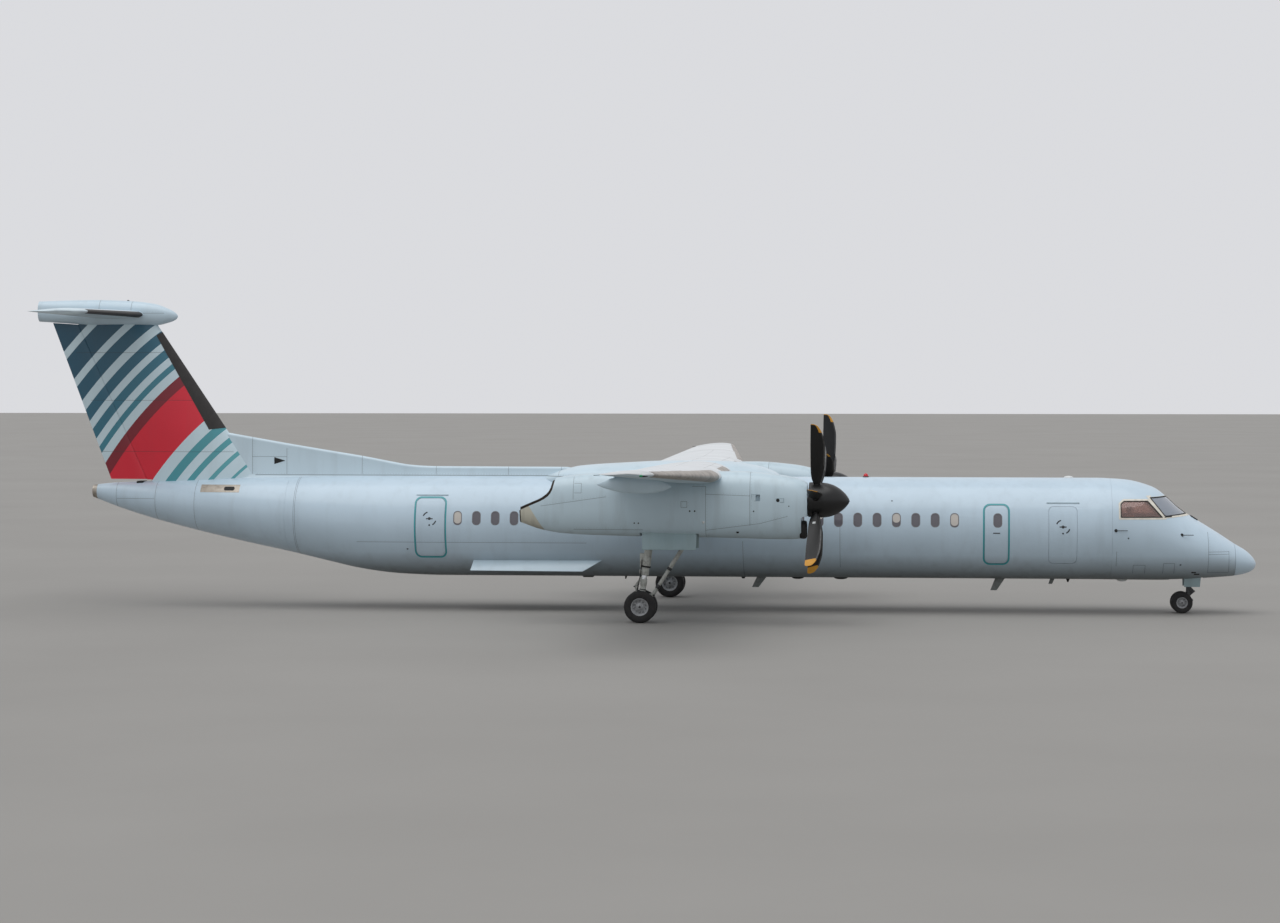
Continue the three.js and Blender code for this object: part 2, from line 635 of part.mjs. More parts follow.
const spinnerRoom = bar([-210, 0, 0], [hubFront + seatGap, 0, 0], hubRadius + 4, 18);
const rootHoles = aroundHub(bar([0, 0, 100], [0, 0, 600], 82, 8));
const spinner = largest(spinnerSkin.subtract(join([spinnerRoom, ...rootHoles])));
for (const [side, startAngle] of [["left", 0], ["right", 21]]) {
  const group = new THREE.Group();
  group.position.set(propX, side === "left" ? engineY : -engineY, thrustZ);
  group.rotation.y = tiltAngle;
  const parts = [["propeller", propeller, bladeBlack], ["spinner", spinner, spinnerGrey]];
  for (const [name, solid, finish] of parts) {
    const mesh = new THREE.Mesh(geometryOf(solid), new THREE.MeshStandardMaterial(finish));
    mesh.name = `${name}_${side}`;
    mesh.rotation.x = (startAngle * Math.PI) / 180;
    group.add(mesh);
  }
  aircraft.add(group);
}

// Wheels: each tyre is a closed ring, and a pair of hubs turns with the axle between them
const tyreSides = 24;
function tyreSolid({ radius, width, rim }, axle, y) {
  const half = width / 2;
  const shoulder = rim + (radius - rim) * 0.55;
  const side = [[rim, 0.72], [shoulder, 1], [radius, 0.6]];
  const profile = [
    ...side.map(([r, share]) => new THREE.Vector2(r, -half * share)),
    ...side.reverse().map(([r, share]) => new THREE.Vector2(r, half * share)),
    new THREE.Vector2(rim, -half * 0.72),
  ];
  return solidOf(new THREE.LatheGeometry(profile, tyreSides).translate(axle.x, y, axle.z));
}

function wheelPair({ rim, width, offset }, axle, y) {
  const half = width * 0.35;
  const across = (y1, y2, radius, sides) => {
    return bar([axle.x, y + y1, axle.z], [axle.x, y + y2, axle.z], radius, sides);
  };
  const discs = [offset, -offset].map((middle) => {
    return across(middle - half, middle + half, rim - seatGap, tyreSides);
  });
  return join([...discs, across(-offset - half - 20, offset + half + 20, axle.radius, 24)]);
}

// The bearing that carries an axle at the foot of a leg, and the hole that the axle turns in.
function bearing(axle, y, radius, half) {
  return bar([axle.x, y - half, axle.z], [axle.x, y + half, axle.z], radius, 24);
}
function bearingHole(axle, y) {
  return bar([axle.x, y - 200, axle.z], [axle.x, y + 200, axle.z], axle.radius + boreGap, 24);
}

// Main landing gear, port side: the leg with its trunnion, drag strut and torque links
const legKnee = [640, engineY, 1150];
const strutTop = { x: 1950, z: 2420 };
const strutFoot = { x: 850, z: 690 };
const bayWidth = gearBay.half - seatGap;
const upperLink = sidePlate([[610, 1260], [385, 930], [430, 890], [640, 1180]], engineY - 30, engineY + 30);
const lowerLink = sidePlate([[385, 930], [500, 520], [570, 560], [430, 890]], engineY - 30, engineY + 30);
const mainLeg = join([
  bar([mainLegTop.x, engineY, mainLegTop.z], legKnee, 85),
  bar([630, engineY, 1190], [mainAxle.x, engineY, mainAxle.z + 30], 56),
  bar([mainLegTop.x, engineY - bayWidth, mainLegTop.z], [mainLegTop.x, engineY + bayWidth, mainLegTop.z], 60),
  bar([strutTop.x, engineY - bayWidth, strutTop.z], [strutTop.x, engineY + bayWidth, strutTop.z], 35),
  bar([strutTop.x, engineY, strutTop.z], [strutFoot.x, engineY, strutFoot.z], 38),
  box(560, strutFoot.x + 35, engineY - 40, engineY + 40, 650, 730),
  upperLink,
  lowerLink,
  bearing(mainAxle, engineY, 80, 110),
]);
addPair("main_leg", mainLeg.subtract(bearingHole(mainAxle, engineY)), gearGrey);
addPair("main_wheels", wheelPair(mainTyre, mainAxle, engineY), hubGrey);
addPair("main_tyre_outer", tyreSolid(mainTyre, mainAxle, engineY + mainTyre.offset), blackRubber);
addPair("main_tyre_inner", tyreSolid(mainTyre, mainAxle, engineY - mainTyre.offset), blackRubber);

// Main gear doors hang open from the edges of the bay: upright inside it, leaning outwards below
const mainDoor = { x1: 620, x2: 2000, thickness: 22, topZ: 2340, bendZ: 2255, footZ: 1870, flare: 75 };
for (const [name, side] of [["outer", 1], ["inner", -1]]) {
  const outer = engineY + side * bayWidth;
  const inner = outer - side * mainDoor.thickness;
  const outline = [
    [outer, mainDoor.topZ],
    [outer, mainDoor.bendZ],
    [outer + side * mainDoor.flare, mainDoor.footZ],
    [inner + side * mainDoor.flare, mainDoor.footZ],
    [inner, mainDoor.bendZ],
    [inner, mainDoor.topZ],
  ];
  addPair(`main_gear_door_${name}`, crossPlate(outline, mainDoor.x1, mainDoor.x2), paint);
}

// Nose landing gear: the fixed leg, the part that steers with the axle's bearing, and the wheels
const steerZ = 760;
const noseLeg = join([
  bar([noseLegX, 0, noseBay.top - seatGap], [noseLegX, 0, steerZ], 72, 24),
  bar([noseLegX, 0, 1060], [15000, 0, 1410], 30),
  bar([15000, -noseBay.half + seatGap, 1410], [15000, noseBay.half - seatGap, 1410], 28),
]);
add("nose_leg", noseLeg, gearGrey);
const noseLink = sidePlate([[14690, 735], [14810, 610], [14840, 560], [14700, 440], [14690, 500]], -22, 22);
const steering = join([
  bar([noseLegX, 0, steerZ - hingeGap], [noseLegX, 0, 690], 80, 24),
  bar([noseLegX, 0, 700], [noseLegX, 0, 400], 54, 24),
  bar([noseLegX + 10, 0, 440], [noseAxle.x, 0, noseAxle.z], 52),
  bar([noseLegX, 0, 400], [noseLegX + 120, 0, 330], 34),
  noseLink,
  bearing(noseAxle, 0, 62, 110),
]);
add("nose_steering_leg", steering.subtract(bearingHole(noseAxle, 0)), gearGrey);
add("nose_wheels", wheelPair(noseTyre, noseAxle, 0), hubGrey);
add("nose_tyre_left", tyreSolid(noseTyre, noseAxle, noseTyre.offset), blackRubber);
add("nose_tyre_right", tyreSolid(noseTyre, noseAxle, -noseTyre.offset), blackRubber);
const noseDoor = { x1: 14530, x2: 14980, thickness: 22, z1: 600, z2: 1000 };
const noseDoorY = noseBay.half - seatGap;
const noseDoorInner = noseDoorY - noseDoor.thickness;
const noseDoorPlate = box(noseDoor.x1, noseDoor.x2, noseDoorInner, noseDoorY, noseDoor.z1, noseDoor.z2);
addPair("nose_gear_door", noseDoorPlate, paint);

// Strakes along the lower sides of the rear fuselage
const strakeRoot = [[-750, 990, 1390], [-4260, 990, 1390], [-4260, 968, 1368], [-750, 968, 1368]];
const strakeEdge = [[-1310, 1270, 1068], [-4320, 1270, 1080], [-4320, 1250, 1056], [-1310, 1250, 1044]];
addPair("strake", largest(loft([strakeRoot, strakeEdge]).subtract(wholeHull)), paint);

export default aircraft;
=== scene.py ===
# Looks of a twin-turboprop airliner, in metres: X forward, Y to port, Z up, ground at zero
import math
import bpy
from mathutils import Matrix, Vector


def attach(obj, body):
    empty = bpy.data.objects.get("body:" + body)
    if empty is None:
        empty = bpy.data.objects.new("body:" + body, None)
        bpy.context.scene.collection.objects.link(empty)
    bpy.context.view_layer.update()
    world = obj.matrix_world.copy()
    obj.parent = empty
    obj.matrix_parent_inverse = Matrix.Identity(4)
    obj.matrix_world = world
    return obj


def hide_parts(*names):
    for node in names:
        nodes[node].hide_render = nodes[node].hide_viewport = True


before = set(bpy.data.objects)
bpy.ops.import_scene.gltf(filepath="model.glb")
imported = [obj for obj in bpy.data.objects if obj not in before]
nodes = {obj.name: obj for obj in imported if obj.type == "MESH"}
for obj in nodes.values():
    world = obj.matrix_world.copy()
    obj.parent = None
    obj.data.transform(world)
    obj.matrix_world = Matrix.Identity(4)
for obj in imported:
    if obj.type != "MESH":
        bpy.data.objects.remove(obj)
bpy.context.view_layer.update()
print("frame loaded:", len(nodes), "nodes")


# Small helpers for objects and edit mode

def clearSelection():
    if bpy.context.mode != "OBJECT":
        bpy.ops.object.mode_set(mode="OBJECT")
    bpy.ops.object.select_all(action="DESELECT")


def pick(*pieces):
    clearSelection()
    for piece in pieces:
        piece.select_set(True)
    bpy.context.view_layer.objects.active = pieces[0]


def editAll(piece):
    pick(piece)
    bpy.ops.object.mode_set(mode="EDIT")
    bpy.ops.mesh.select_all(action="SELECT")


def modify(piece, kind, **settings):
    pick(piece)
    modifier = piece.modifiers.new("shape", kind)
    for key, value in settings.items():
        setattr(modifier, key, value)
    bpy.ops.object.modifier_apply(modifier=modifier.name)
    return piece


def copyOf(piece):
    twin = piece.copy()
    twin.data = piece.data.copy()
    bpy.context.scene.collection.objects.link(twin)
    return twin


def drop(*pieces):
    for piece in pieces:
        bpy.data.objects.remove(piece)


def carve(piece, cutter, operation="DIFFERENCE"):
    modify(piece, "BOOLEAN", object=cutter, operation=operation, solver="EXACT")
    drop(cutter)
    return piece


def merged(pieces):
    if len(pieces) > 1:
        pick(*pieces)
        bpy.ops.object.join()
    return pieces[0]


def moved(piece, matrix):
    piece.data.transform(matrix)
    piece.data.update()
    return piece


def mirrorCopy(piece):
    twin = moved(copyOf(piece), Matrix.Scale(-1, 4, (0, 1, 0)))
    twin.data.flip_normals()
    return twin


# A finish over the whole piece; a shape that only cuts has none
def painted(piece, finish):
    if finish:
        piece.data.materials.clear()
        piece.data.materials.append(finish)
    return piece


def paintFaces(piece, finish, chosen):
    if finish.name not in piece.data.materials:
        piece.data.materials.append(finish)
    slotIndex = piece.data.materials.find(finish.name)
    for face in piece.data.polygons:
        if chosen(face):
            face.material_index = slotIndex
    return piece


shading = {"sharpFrom": 32, "faceWeight": 80}  # degrees, and how much the large faces bend the shading


def handOver(piece, name, body="root", slotName="airframe_paint", replaced=(), weighted=False):
    pick(piece)
    bpy.ops.object.transform_apply(location=True, rotation=True, scale=True)
    bpy.ops.object.shade_smooth_by_angle(angle=math.radians(shading["sharpFrom"]))
    if weighted:
        modify(piece, "WEIGHTED_NORMAL", keep_sharp=True, weight=shading["faceWeight"])
    piece.name = name
    piece.data.name = name
    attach(piece, body)
    if replaced:
        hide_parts(*replaced)
    return piece


def pairOver(piece, name, slotName, node=None, bodyPair=("root", "root"), **more):
    twin = mirrorCopy(piece)
    for side, one, body in (("left", piece, bodyPair[0]), ("right", twin, bodyPair[1])):
        handOver(one, f"{name}_{side}", body, slotName, [f"{node}_{side}"] if node else (), **more)


def spread(start, end, step):
    count = max(1, round(abs(end - start) / step))
    return [start + (end - start) * i / count for i in range(count + 1)]


# Values between the rows of a table, on a curve that never overshoots a row
def between(rows, place):
    last = len(rows) - 2
    i = 0
    while i < last and place > rows[i + 1][0]:
        i += 1
    gaps = [rows[k + 1][0] - rows[k][0] for k in range(len(rows) - 1)]
    t = min(max((place - rows[i][0]) / gaps[i], 0), 1)
    values = [place]
    for column in range(1, len(rows[0])):
        rises = [(rows[k + 1][column] - rows[k][column]) / gaps[k] for k in range(len(rows) - 1)]

        def slope(k):
            if k == 0 or k == len(rows) - 1:
                return rises[min(k, len(rises) - 1)]
            before, after = rises[k - 1], rises[k]
            return 0 if before * after <= 0 else 2 * before * after / (before + after)

        a, b = rows[i][column], rows[i + 1][column]
        m, n = slope(i) * gaps[i], slope(i + 1) * gaps[i]
        values.append((2 * t**3 - 3 * t**2 + 1) * a + (t**3 - 2 * t**2 + t) * m
                      + (3 * t**2 - 2 * t**3) * b + (t**3 - t**2) * n)
    return values


# A closed skin over rings of points: a grid laid on the rings, its seam welded and its ends filled
def skin(name, rings, finish=None):
    around, along = len(rings[0]), len(rings)
    clearSelection()
    bpy.ops.mesh.primitive_grid_add(x_subdivisions=around, y_subdivisions=along - 1, size=1)
    piece = bpy.context.object
    points = [ring[j % around] for ring in rings for j in range(around + 1)]
    piece.data.vertices.foreach_set("co", [value for point in points for value in point])
    piece.name = name
    editAll(piece)
    bpy.ops.mesh.remove_doubles(threshold=0.00001)
    bpy.ops.mesh.fill_holes(sides=0)
    bpy.ops.mesh.select_all(action="SELECT")
    bpy.ops.mesh.normals_make_consistent(inside=False)
    clearSelection()
    return painted(piece, finish)


# A side-view outline in X and Z, its corners rounded, given its thickness along Y
def prism(outline, y1, y2, corner=0.0, segments=6, finish=None):
    clearSelection()
    bpy.ops.mesh.primitive_circle_add(vertices=len(outline), fill_type="NGON")
    piece = bpy.context.object
    for vertex, (x, z) in zip(piece.data.vertices, outline):
        vertex.co = (x, y1, z)
    editAll(piece)
    if corner:
        bpy.ops.mesh.bevel(offset=corner, segments=segments, affect="VERTICES")
        bpy.ops.mesh.select_all(action="SELECT")
    bpy.ops.mesh.extrude_region_move(TRANSFORM_OT_translate={"value": (0, y2 - y1, 0)})
    bpy.ops.mesh.select_all(action="SELECT")
    bpy.ops.mesh.normals_make_consistent(inside=False)
    clearSelection()
    return painted(piece, finish)


def rectangle(x1, x2, z1, z2, grow=0.0):
    x1, x2, z1, z2 = x1 - grow, x2 + grow, z1 - grow, z2 + grow
    return [(x1, z1), (x2, z1), (x2, z2), (x1, z2)]


def block(x1, x2, y1, y2, z1, z2, bevel=0.0, finish=None):
    clearSelection()
    bpy.ops.mesh.primitive_cube_add(size=1, location=((x1 + x2) / 2, (y1 + y2) / 2, (z1 + z2) / 2))
    piece = bpy.context.object
    piece.scale = (x2 - x1, y2 - y1, z2 - z1)
    bpy.ops.object.transform_apply(location=True, rotation=True, scale=True)
    if bevel:
        modify(piece, "BEVEL", width=bevel, segments=3)
    return painted(piece, finish)


# A round bar between two points, with softened ends
def tube(start, end, radius, finish=None, endRadius=None, sides=32, bevel=None):
    start, end = Vector(start), Vector(end)
    along = end - start
    clearSelection()
    bpy.ops.mesh.primitive_cone_add(vertices=sides, radius1=radius,
                                    radius2=radius if endRadius is None else endRadius,
                                    depth=along.length, location=(start + end) / 2,
                                    rotation=along.to_track_quat("Z", "Y").to_euler())
    piece = bpy.context.object
    bpy.ops.object.transform_apply(location=True, rotation=True, scale=True)
    width = min(0.12 * radius, 0.006) if bevel is None else bevel
    if width:
        modify(piece, "BEVEL", width=width, segments=2, limit_method="ANGLE")
    return painted(piece, finish)


def ball(middle, sizes, finish, sides=32):
    clearSelection()
    bpy.ops.mesh.primitive_uv_sphere_add(segments=sides, ring_count=sides // 2, location=middle)
    piece = bpy.context.object
    piece.scale = sizes
    bpy.ops.object.transform_apply(location=True, rotation=True, scale=True)
    return painted(piece, finish)


# Blocks and bars from tables, about a middle plane
def blocks(rows, y=0.0):
    return [block(x1, x2, y + y1, y + y2, z1, z2, bevel, finish)
            for x1, x2, y1, y2, z1, z2, bevel, finish in rows]


def bars(rows, y=0.0):
    return [tube((x1, y + y1, z1), (x2, y + y2, z2), radius, finish)
            for x1, y1, z1, x2, y2, z2, radius, finish in rows]


# A profile of radius and place along an axis, spun once round it
def lathe(profile, centre, axis, steps=64, finish=None):
    axis = Vector(axis).normalized()
    aside = axis.orthogonal().normalized()
    clearSelection()
    bpy.ops.mesh.primitive_circle_add(vertices=len(profile), fill_type="NOTHING")
    piece = bpy.context.object
    for vertex, (radius, along) in zip(piece.data.vertices, profile):
        vertex.co = Vector(centre) + axis * along + aside * radius
    editAll(piece)
    bpy.ops.mesh.spin(steps=steps, angle=math.tau, center=centre, axis=axis)
    bpy.ops.mesh.select_all(action="SELECT")
    bpy.ops.mesh.remove_doubles(threshold=0.00005)
    bpy.ops.mesh.delete_loose()
    bpy.ops.mesh.select_all(action="SELECT")
    bpy.ops.mesh.normals_make_consistent(inside=False)
    clearSelection()
    return painted(piece, finish)


# Materials

def linear(hexColour):
    channels = [int(hexColour[i:i + 2], 16) / 255 for i in (1, 3, 5)]
    return [c / 12.92 if c <= 0.04045 else ((c + 0.055) / 1.055) ** 2.4 for c in channels] + [1.0]


# Adds a node with its settings and links, and gives back the output that is asked for
def addNode(tree, kind, inputs=None, out=0, **settings):
    node = tree.nodes.new(kind)
    for name, value in settings.items():
        setattr(node, name, value)
    for name, value in (inputs or {}).items():
        if isinstance(value, bpy.types.NodeSocket):
            tree.links.new(value, node.inputs[name])
        else:
            node.inputs[name].default_value = value
    return node.outputs[out]


def startMaterial(name, colour, roughness, metallic=0.0, **sockets):
    material = bpy.data.materials.new(name)
    material.use_nodes = True
    tree = material.node_tree
    shader = tree.nodes["Principled BSDF"]
    shader.inputs["Base Color"].default_value = linear(colour)
    shader.inputs["Roughness"].default_value = roughness
    shader.inputs["Metallic"].default_value = metallic
    for key, value in sockets.items():
        shader.inputs[key.replace("_", " ")].default_value = value
    spot = addNode(tree, "ShaderNodeTexCoord", out="Object")
    return material, tree, shader, spot


# Real sizes on painted skins, in millimetres. A joint is 2 mm wide and its rivets stand 25 mm apart, too fine
# to show, so the joint is drawn as wide as half a pixel and every third rivet is drawn, larger
paintwork = {
    "jointDrawn": 13, "pitchDrawn": 75, "rivetDrawn": 15, "rivetAside": 38,
    "jointTone": "#262C30", "jointShare": 0.55, "rivetShare": 0.35,
    "peel": 6,
    "cloud": 1400, "streak": 260, "streakLength": 3200,
    "filmAndShade": "#5C5A53",  # road film and exhaust, and the painted shade on undersides
}


# Polyurethane enamel sprayed on riveted aluminium: an even, half-gloss pale skin with a faint orange peel,
# thin dark joints between the sheets with rivets beside them, and rain streaks that run down or back
def enamel(name, colour, joints=(), roughness=0.34, grime=0.12, streakAxis=2, sootAndShade=None, colourNodes=None):
    material, tree, shader, spot = startMaterial(name, colour, roughness, Coat_Weight=0.2,
                                                 Coat_Roughness=0.15)
    split = addNode(tree, "ShaderNodeSeparateXYZ", {0: spot}).node.outputs
    source = {"x": split[0], "y": split[1], "z": split[2]}
    base = colourNodes(tree, source) if colourNodes else None
    clouds = addNode(tree, "ShaderNodeTexNoise", {"Vector": spot, "Scale": 1000 / paintwork["cloud"],
                                                  "Detail": 4.0})
    tone = addNode(tree, "ShaderNodeMapRange", {0: clouds, 1: 0.3, 2: 0.7, 3: 0.95, 4: 1.03})
    faded = addNode(tree, "ShaderNodeVectorMath", {0: base or linear(colour)[:3], "Scale": tone},
                    operation="SCALE")
    stretch = [1000 / paintwork["streak"]] * 3
    stretch[streakAxis] = 1000 / paintwork["streakLength"]
    along = addNode(tree, "ShaderNodeMapping", {"Vector": spot, "Scale": stretch})
    runs = addNode(tree, "ShaderNodeTexNoise", {"Vector": along, "Scale": 1.0, "Detail": 5.0})
    streak = addNode(tree, "ShaderNodeMapRange", {0: runs, 1: 0.5, 2: 0.8, 3: 0.0, 4: grime})
    # Below a given height the skin darkens towards the film colour: soot and road film, and painted shade of
    # the underside
    if sootAndShade:
        low, high, most = sootAndShade
        under = addNode(tree, "ShaderNodeMapRange", {0: source["z"], 1: high, 2: low, 3: 0.0, 4: most})
        streak = addNode(tree, "ShaderNodeMath", {0: streak, 1: under}, operation="ADD", use_clamp=True)
    mix = addNode(tree, "ShaderNodeMix", {0: streak, 6: faded, 7: linear(paintwork["filmAndShade"])}, 2,
                  data_type="RGBA")
    dull = addNode(tree, "ShaderNodeMath", {0: streak, 1: 0.8, 2: roughness}, operation="MULTIPLY_ADD")
    peel = addNode(tree, "ShaderNodeTexNoise", {"Vector": spot, "Scale": 1000 / paintwork["peel"],
                                                "Detail": 2.0})
    relief = addNode(tree, "ShaderNodeMath", {0: peel, 1: 0.12}, operation="MULTIPLY")
    half = paintwork["jointDrawn"] / 2000
    dot = paintwork["rivetDrawn"] / 2000
    pitch = paintwork["pitchDrawn"] / 2000
    for axis, place, other, start, end, *rise in joints:
        across = source[axis]
        if rise:
            place -= rise[0] * start
            across = addNode(tree, "ShaderNodeMath", {0: source[other], 1: -rise[0], 2: across},
                             operation="MULTIPLY_ADD")
        line = addNode(tree, "ShaderNodeMath", {0: across, 1: place, 2: half}, operation="COMPARE")
        beside = place + paintwork["rivetAside"] / 1000
        row = addNode(tree, "ShaderNodeMath", {0: across, 1: beside, 2: dot}, operation="COMPARE")
        middle, reach = (start + end) / 2, (end - start) / 2
        within = addNode(tree, "ShaderNodeMath", {0: source[other], 1: middle, 2: reach}, operation="COMPARE")
        folded = addNode(tree, "ShaderNodeMath", {0: source[other], 1: pitch}, operation="PINGPONG")
        heads = addNode(tree, "ShaderNodeMath", {0: folded, 1: dot}, operation="LESS_THAN")
        line = addNode(tree, "ShaderNodeMath", {0: line, 1: within}, operation="MULTIPLY")
        heads = addNode(tree, "ShaderNodeMath", {0: heads, 1: row}, operation="MULTIPLY")
        heads = addNode(tree, "ShaderNodeMath", {0: heads, 1: within}, operation="MULTIPLY")
        marks = addNode(tree, "ShaderNodeMath", {0: heads, 1: paintwork["rivetShare"], 2: line},
                        operation="MULTIPLY_ADD")
        share = addNode(tree, "ShaderNodeMath", {0: marks, 1: paintwork["jointShare"]}, operation="MULTIPLY",
                        use_clamp=True)
        mix = addNode(tree, "ShaderNodeMix", {0: share, 6: mix, 7: linear(paintwork["jointTone"])}, 2,
                      data_type="RGBA")
        relief = addNode(tree, "ShaderNodeMath", {0: relief, 1: line}, operation="SUBTRACT")
    bump = addNode(tree, "ShaderNodeBump", {"Height": relief, "Distance": 0.0015, "Strength": 0.5})
    tree.links.new(mix, shader.inputs["Base Color"])
    tree.links.new(dull, shader.inputs["Roughness"])
    tree.links.new(bump, shader.inputs["Normal"])
    return material


# A dull moulded or coated black: its tone is greyed unevenly by dust, over a fine moulded grain
def rubber(name, colour, roughness, dust="#4A4844", dustShare=0.35, patch=160, grain=5):
    material, tree, shader, spot = startMaterial(name, colour, roughness)
    patches = addNode(tree, "ShaderNodeTexNoise", {"Vector": spot, "Scale": 1000 / patch, "Detail": 6.0})
    share = addNode(tree, "ShaderNodeMapRange", {0: patches, 1: 0.35, 2: 0.75, 3: 0.0, 4: dustShare})
    mix = addNode(tree, "ShaderNodeMix", {0: share, 6: linear(colour), 7: linear(dust)}, 2, data_type="RGBA")
    pores = addNode(tree, "ShaderNodeTexNoise", {"Vector": spot, "Scale": 1000 / grain, "Detail": 3.0})
    bump = addNode(tree, "ShaderNodeBump", {"Height": pores, "Distance": 0.0006, "Strength": 0.5})
    tree.links.new(mix, shader.inputs["Base Color"])
    tree.links.new(bump, shader.inputs["Normal"])
    return material


# A hard finished surface: its sheen varies over the piece, with oily dirt in patches and a fine tool grain
def hardFinish(name, colour, roughness, metallic, dirt="#3A3630", dirtShare=0.3, patch=70, grain=11):
    material, tree, shader, spot = startMaterial(name, colour, roughness, metallic)
    patches = addNode(tree, "ShaderNodeTexNoise", {"Vector": spot, "Scale": 1000 / patch, "Detail": 6.0})
    share = addNode(tree, "ShaderNodeMapRange", {0: patches, 1: 0.45, 2: 0.75, 3: 0.0, 4: dirtShare})
    mix = addNode(tree, "ShaderNodeMix", {0: share, 6: linear(colour), 7: linear(dirt)}, 2, data_type="RGBA")
    sheen = addNode(tree, "ShaderNodeTexNoise", {"Vector": spot, "Scale": 3000 / patch, "Detail": 4.0})
    rough = addNode(tree, "ShaderNodeMapRange",
                    {0: sheen, 1: 0.3, 2: 0.7, 3: roughness * 0.8, 4: min(1.0, roughness * 1.35)})
    tool = addNode(tree, "ShaderNodeTexNoise", {"Vector": spot, "Scale": 1000 / grain, "Detail": 3.0})
    bump = addNode(tree, "ShaderNodeBump", {"Height": tool, "Distance": 0.0008, "Strength": 0.35})
    tree.links.new(mix, shader.inputs["Base Color"])
    tree.links.new(rough, shader.inputs["Roughness"])
    tree.links.new(bump, shader.inputs["Normal"])
    return material


# Polished acrylic, laminated glass or polycarbonate: smooth, tinted, with a faint haze of fine scratches
def glassFinish(name, colour, through, haze=330, low=0.04, high=0.12):
    material, tree, shader, spot = startMaterial(name, colour, low, Transmission_Weight=through, IOR=1.49)
    wiped = addNode(tree, "ShaderNodeTexNoise", {"Vector": spot, "Scale": 1000 / haze, "Detail": 4.0})
    rough = addNode(tree, "ShaderNodeMapRange", {0: wiped, 1: 0.3, 2: 0.7, 3: low, 4: high})
    tree.links.new(rough, shader.inputs["Roughness"])
    return material


# The fin's own colours: arcs that sweep up and back and grow closer, pale blue and teal, one wide red
finArcs = {
    "centre": (-5.2, 0.0, -2.4),
    "reach": (6.0, 16.0),
    "pale": "#C6DAE2",
    "bands": [
        (8.2, 8.28, "#5AA3AB"), (8.6, 8.72, "#5AA3AB"), (8.97, 9.15, "#4F9BA4"), (9.38, 9.62, "#4A96A0"),
        (9.92, 11.02, "#D61A33"), (11.02, 11.3, "#7D1526"), (11.52, 11.68, "#3C7F90"),
        (11.88, 12.1, "#336F83"), (12.3, 12.6, "#2C6379"), (12.8, 13.18, "#275A70"),
        (13.38, 13.86, "#245369"), (14.06, 15.9, "#204D63"),
    ],
}


def finColours(tree, source):
    flat = addNode(tree, "ShaderNodeCombineXYZ", {0: source["x"], 1: 0.0, 2: source["z"]})
    away = addNode(tree, "ShaderNodeVectorMath", {0: flat, 1: finArcs["centre"]}, "Value",
                   operation="DISTANCE")
    low, high = finArcs["reach"]
    share = addNode(tree, "ShaderNodeMapRange", {0: away, 1: low, 2: high, 3: 0.0, 4: 1.0})
    ramp = addNode(tree, "ShaderNodeValToRGB", {0: share})
    stops = ramp.node.color_ramp
    stops.interpolation = "CONSTANT"
    stops.elements.remove(stops.elements[-1])
    stops.elements[0].color = linear(finArcs["pale"])
    last = low
    for start, end, colour in finArcs["bands"]:
        places = [(end, finArcs["pale"])] if start == last else [(start, colour), (end, finArcs["pale"])]
        if start == last:
            stops.elements[-1].color = linear(colour)
        for reach, shade in places:
            stop = stops.elements.new((reach - low) / (high - low))
            stop.color = linear(shade)
        last = end
    return ramp


# A joint row: axis and place, then the other axis with its start and end, and the rise of a slanted joint
def bothSides(rows):
    return [(axis, side * place, *rest) for axis, place, *rest in rows for side in (1, -1)]


paleBlue = "#B8CBD8"
hullAxis = 2.22
belly = (0.86, 1.56, 0.85)  # soot and painted shade: full below this height, none above this one, and its share

# Sprayed polyurethane enamel on the cabin: few joints show; the belly darkens towards the ground, partly road
# film and soot, partly painted shade
hullPaint = enamel("polyurethane_hull_enamel", paleBlue, [
    ("x", -14.22, "z", 2.5, 3.5), ("x", -13.08, "z", 2.3, 3.5), ("z", 2.93, "x", -14.2, -13.1),
    ("x", -11.95, "z", 1.9, 3.5), ("x", -9.1, "z", 0.8, 3.6), ("x", -9.14, "z", 0.8, 3.6),
    ("x", 2.95, "z", 0.8, 1.9), ("x", 5.51, "z", 1.2, 2.3), ("z", 1.83, "x", -7.4, -1.2),
], sootAndShade=belly, grime=0.1)
# The same enamel on the nose, with its access panels; its underside darkens as on the cabin, partly painted
# shade
nosePaint = enamel("polyurethane_nose_enamel", paleBlue, [
    ("x", 12.715, "z", 1.28, 1.68), ("x", 15.11, "z", 1.1, 2.17), ("x", 15.66, "z", 1.1, 1.68),
    ("z", 1.66, "x", 15.11, 15.66), ("z", 1.595, "x", 15.11, 15.66), ("z", 1.1, "x", 15.11, 15.66),
    ("x", 13.94, "z", 1.08, 1.36), ("x", 14.23, "z", 1.08, 1.36), ("z", 1.36, "x", 13.94, 14.23),
    ("x", 13.16, "z", 1.08, 1.31), ("x", 13.47, "z", 1.08, 1.31), ("z", 1.31, "x", 13.16, 13.47),
], grime=0.06, sootAndShade=belly)
# Fluoropolymer erosion coating sprayed on the glass-fibre radome: duller than enamel, with no rivets
radomePaint = enamel("fluoropolymer_radome_coating", "#B6C9D6", roughness=0.42, grime=0.06)
# Pale polyurethane enamel on the wing: bright, weathered dull, streaked backwards by the airflow
wingPaint = enamel("polyurethane_wing_enamel", "#D0D4D6", bothSides([
    ("y", 5.9, "x", -1.0, 3.0), ("y", 9.5, "x", -1.0, 3.0), ("y", 2.5, "x", 0.5, 2.6),
]) + [("x", 2.2, "y", -5.0, 5.0), ("x", 1.45, "y", -9.0, 9.0)], roughness=0.42, grime=0.3, streakAxis=0)
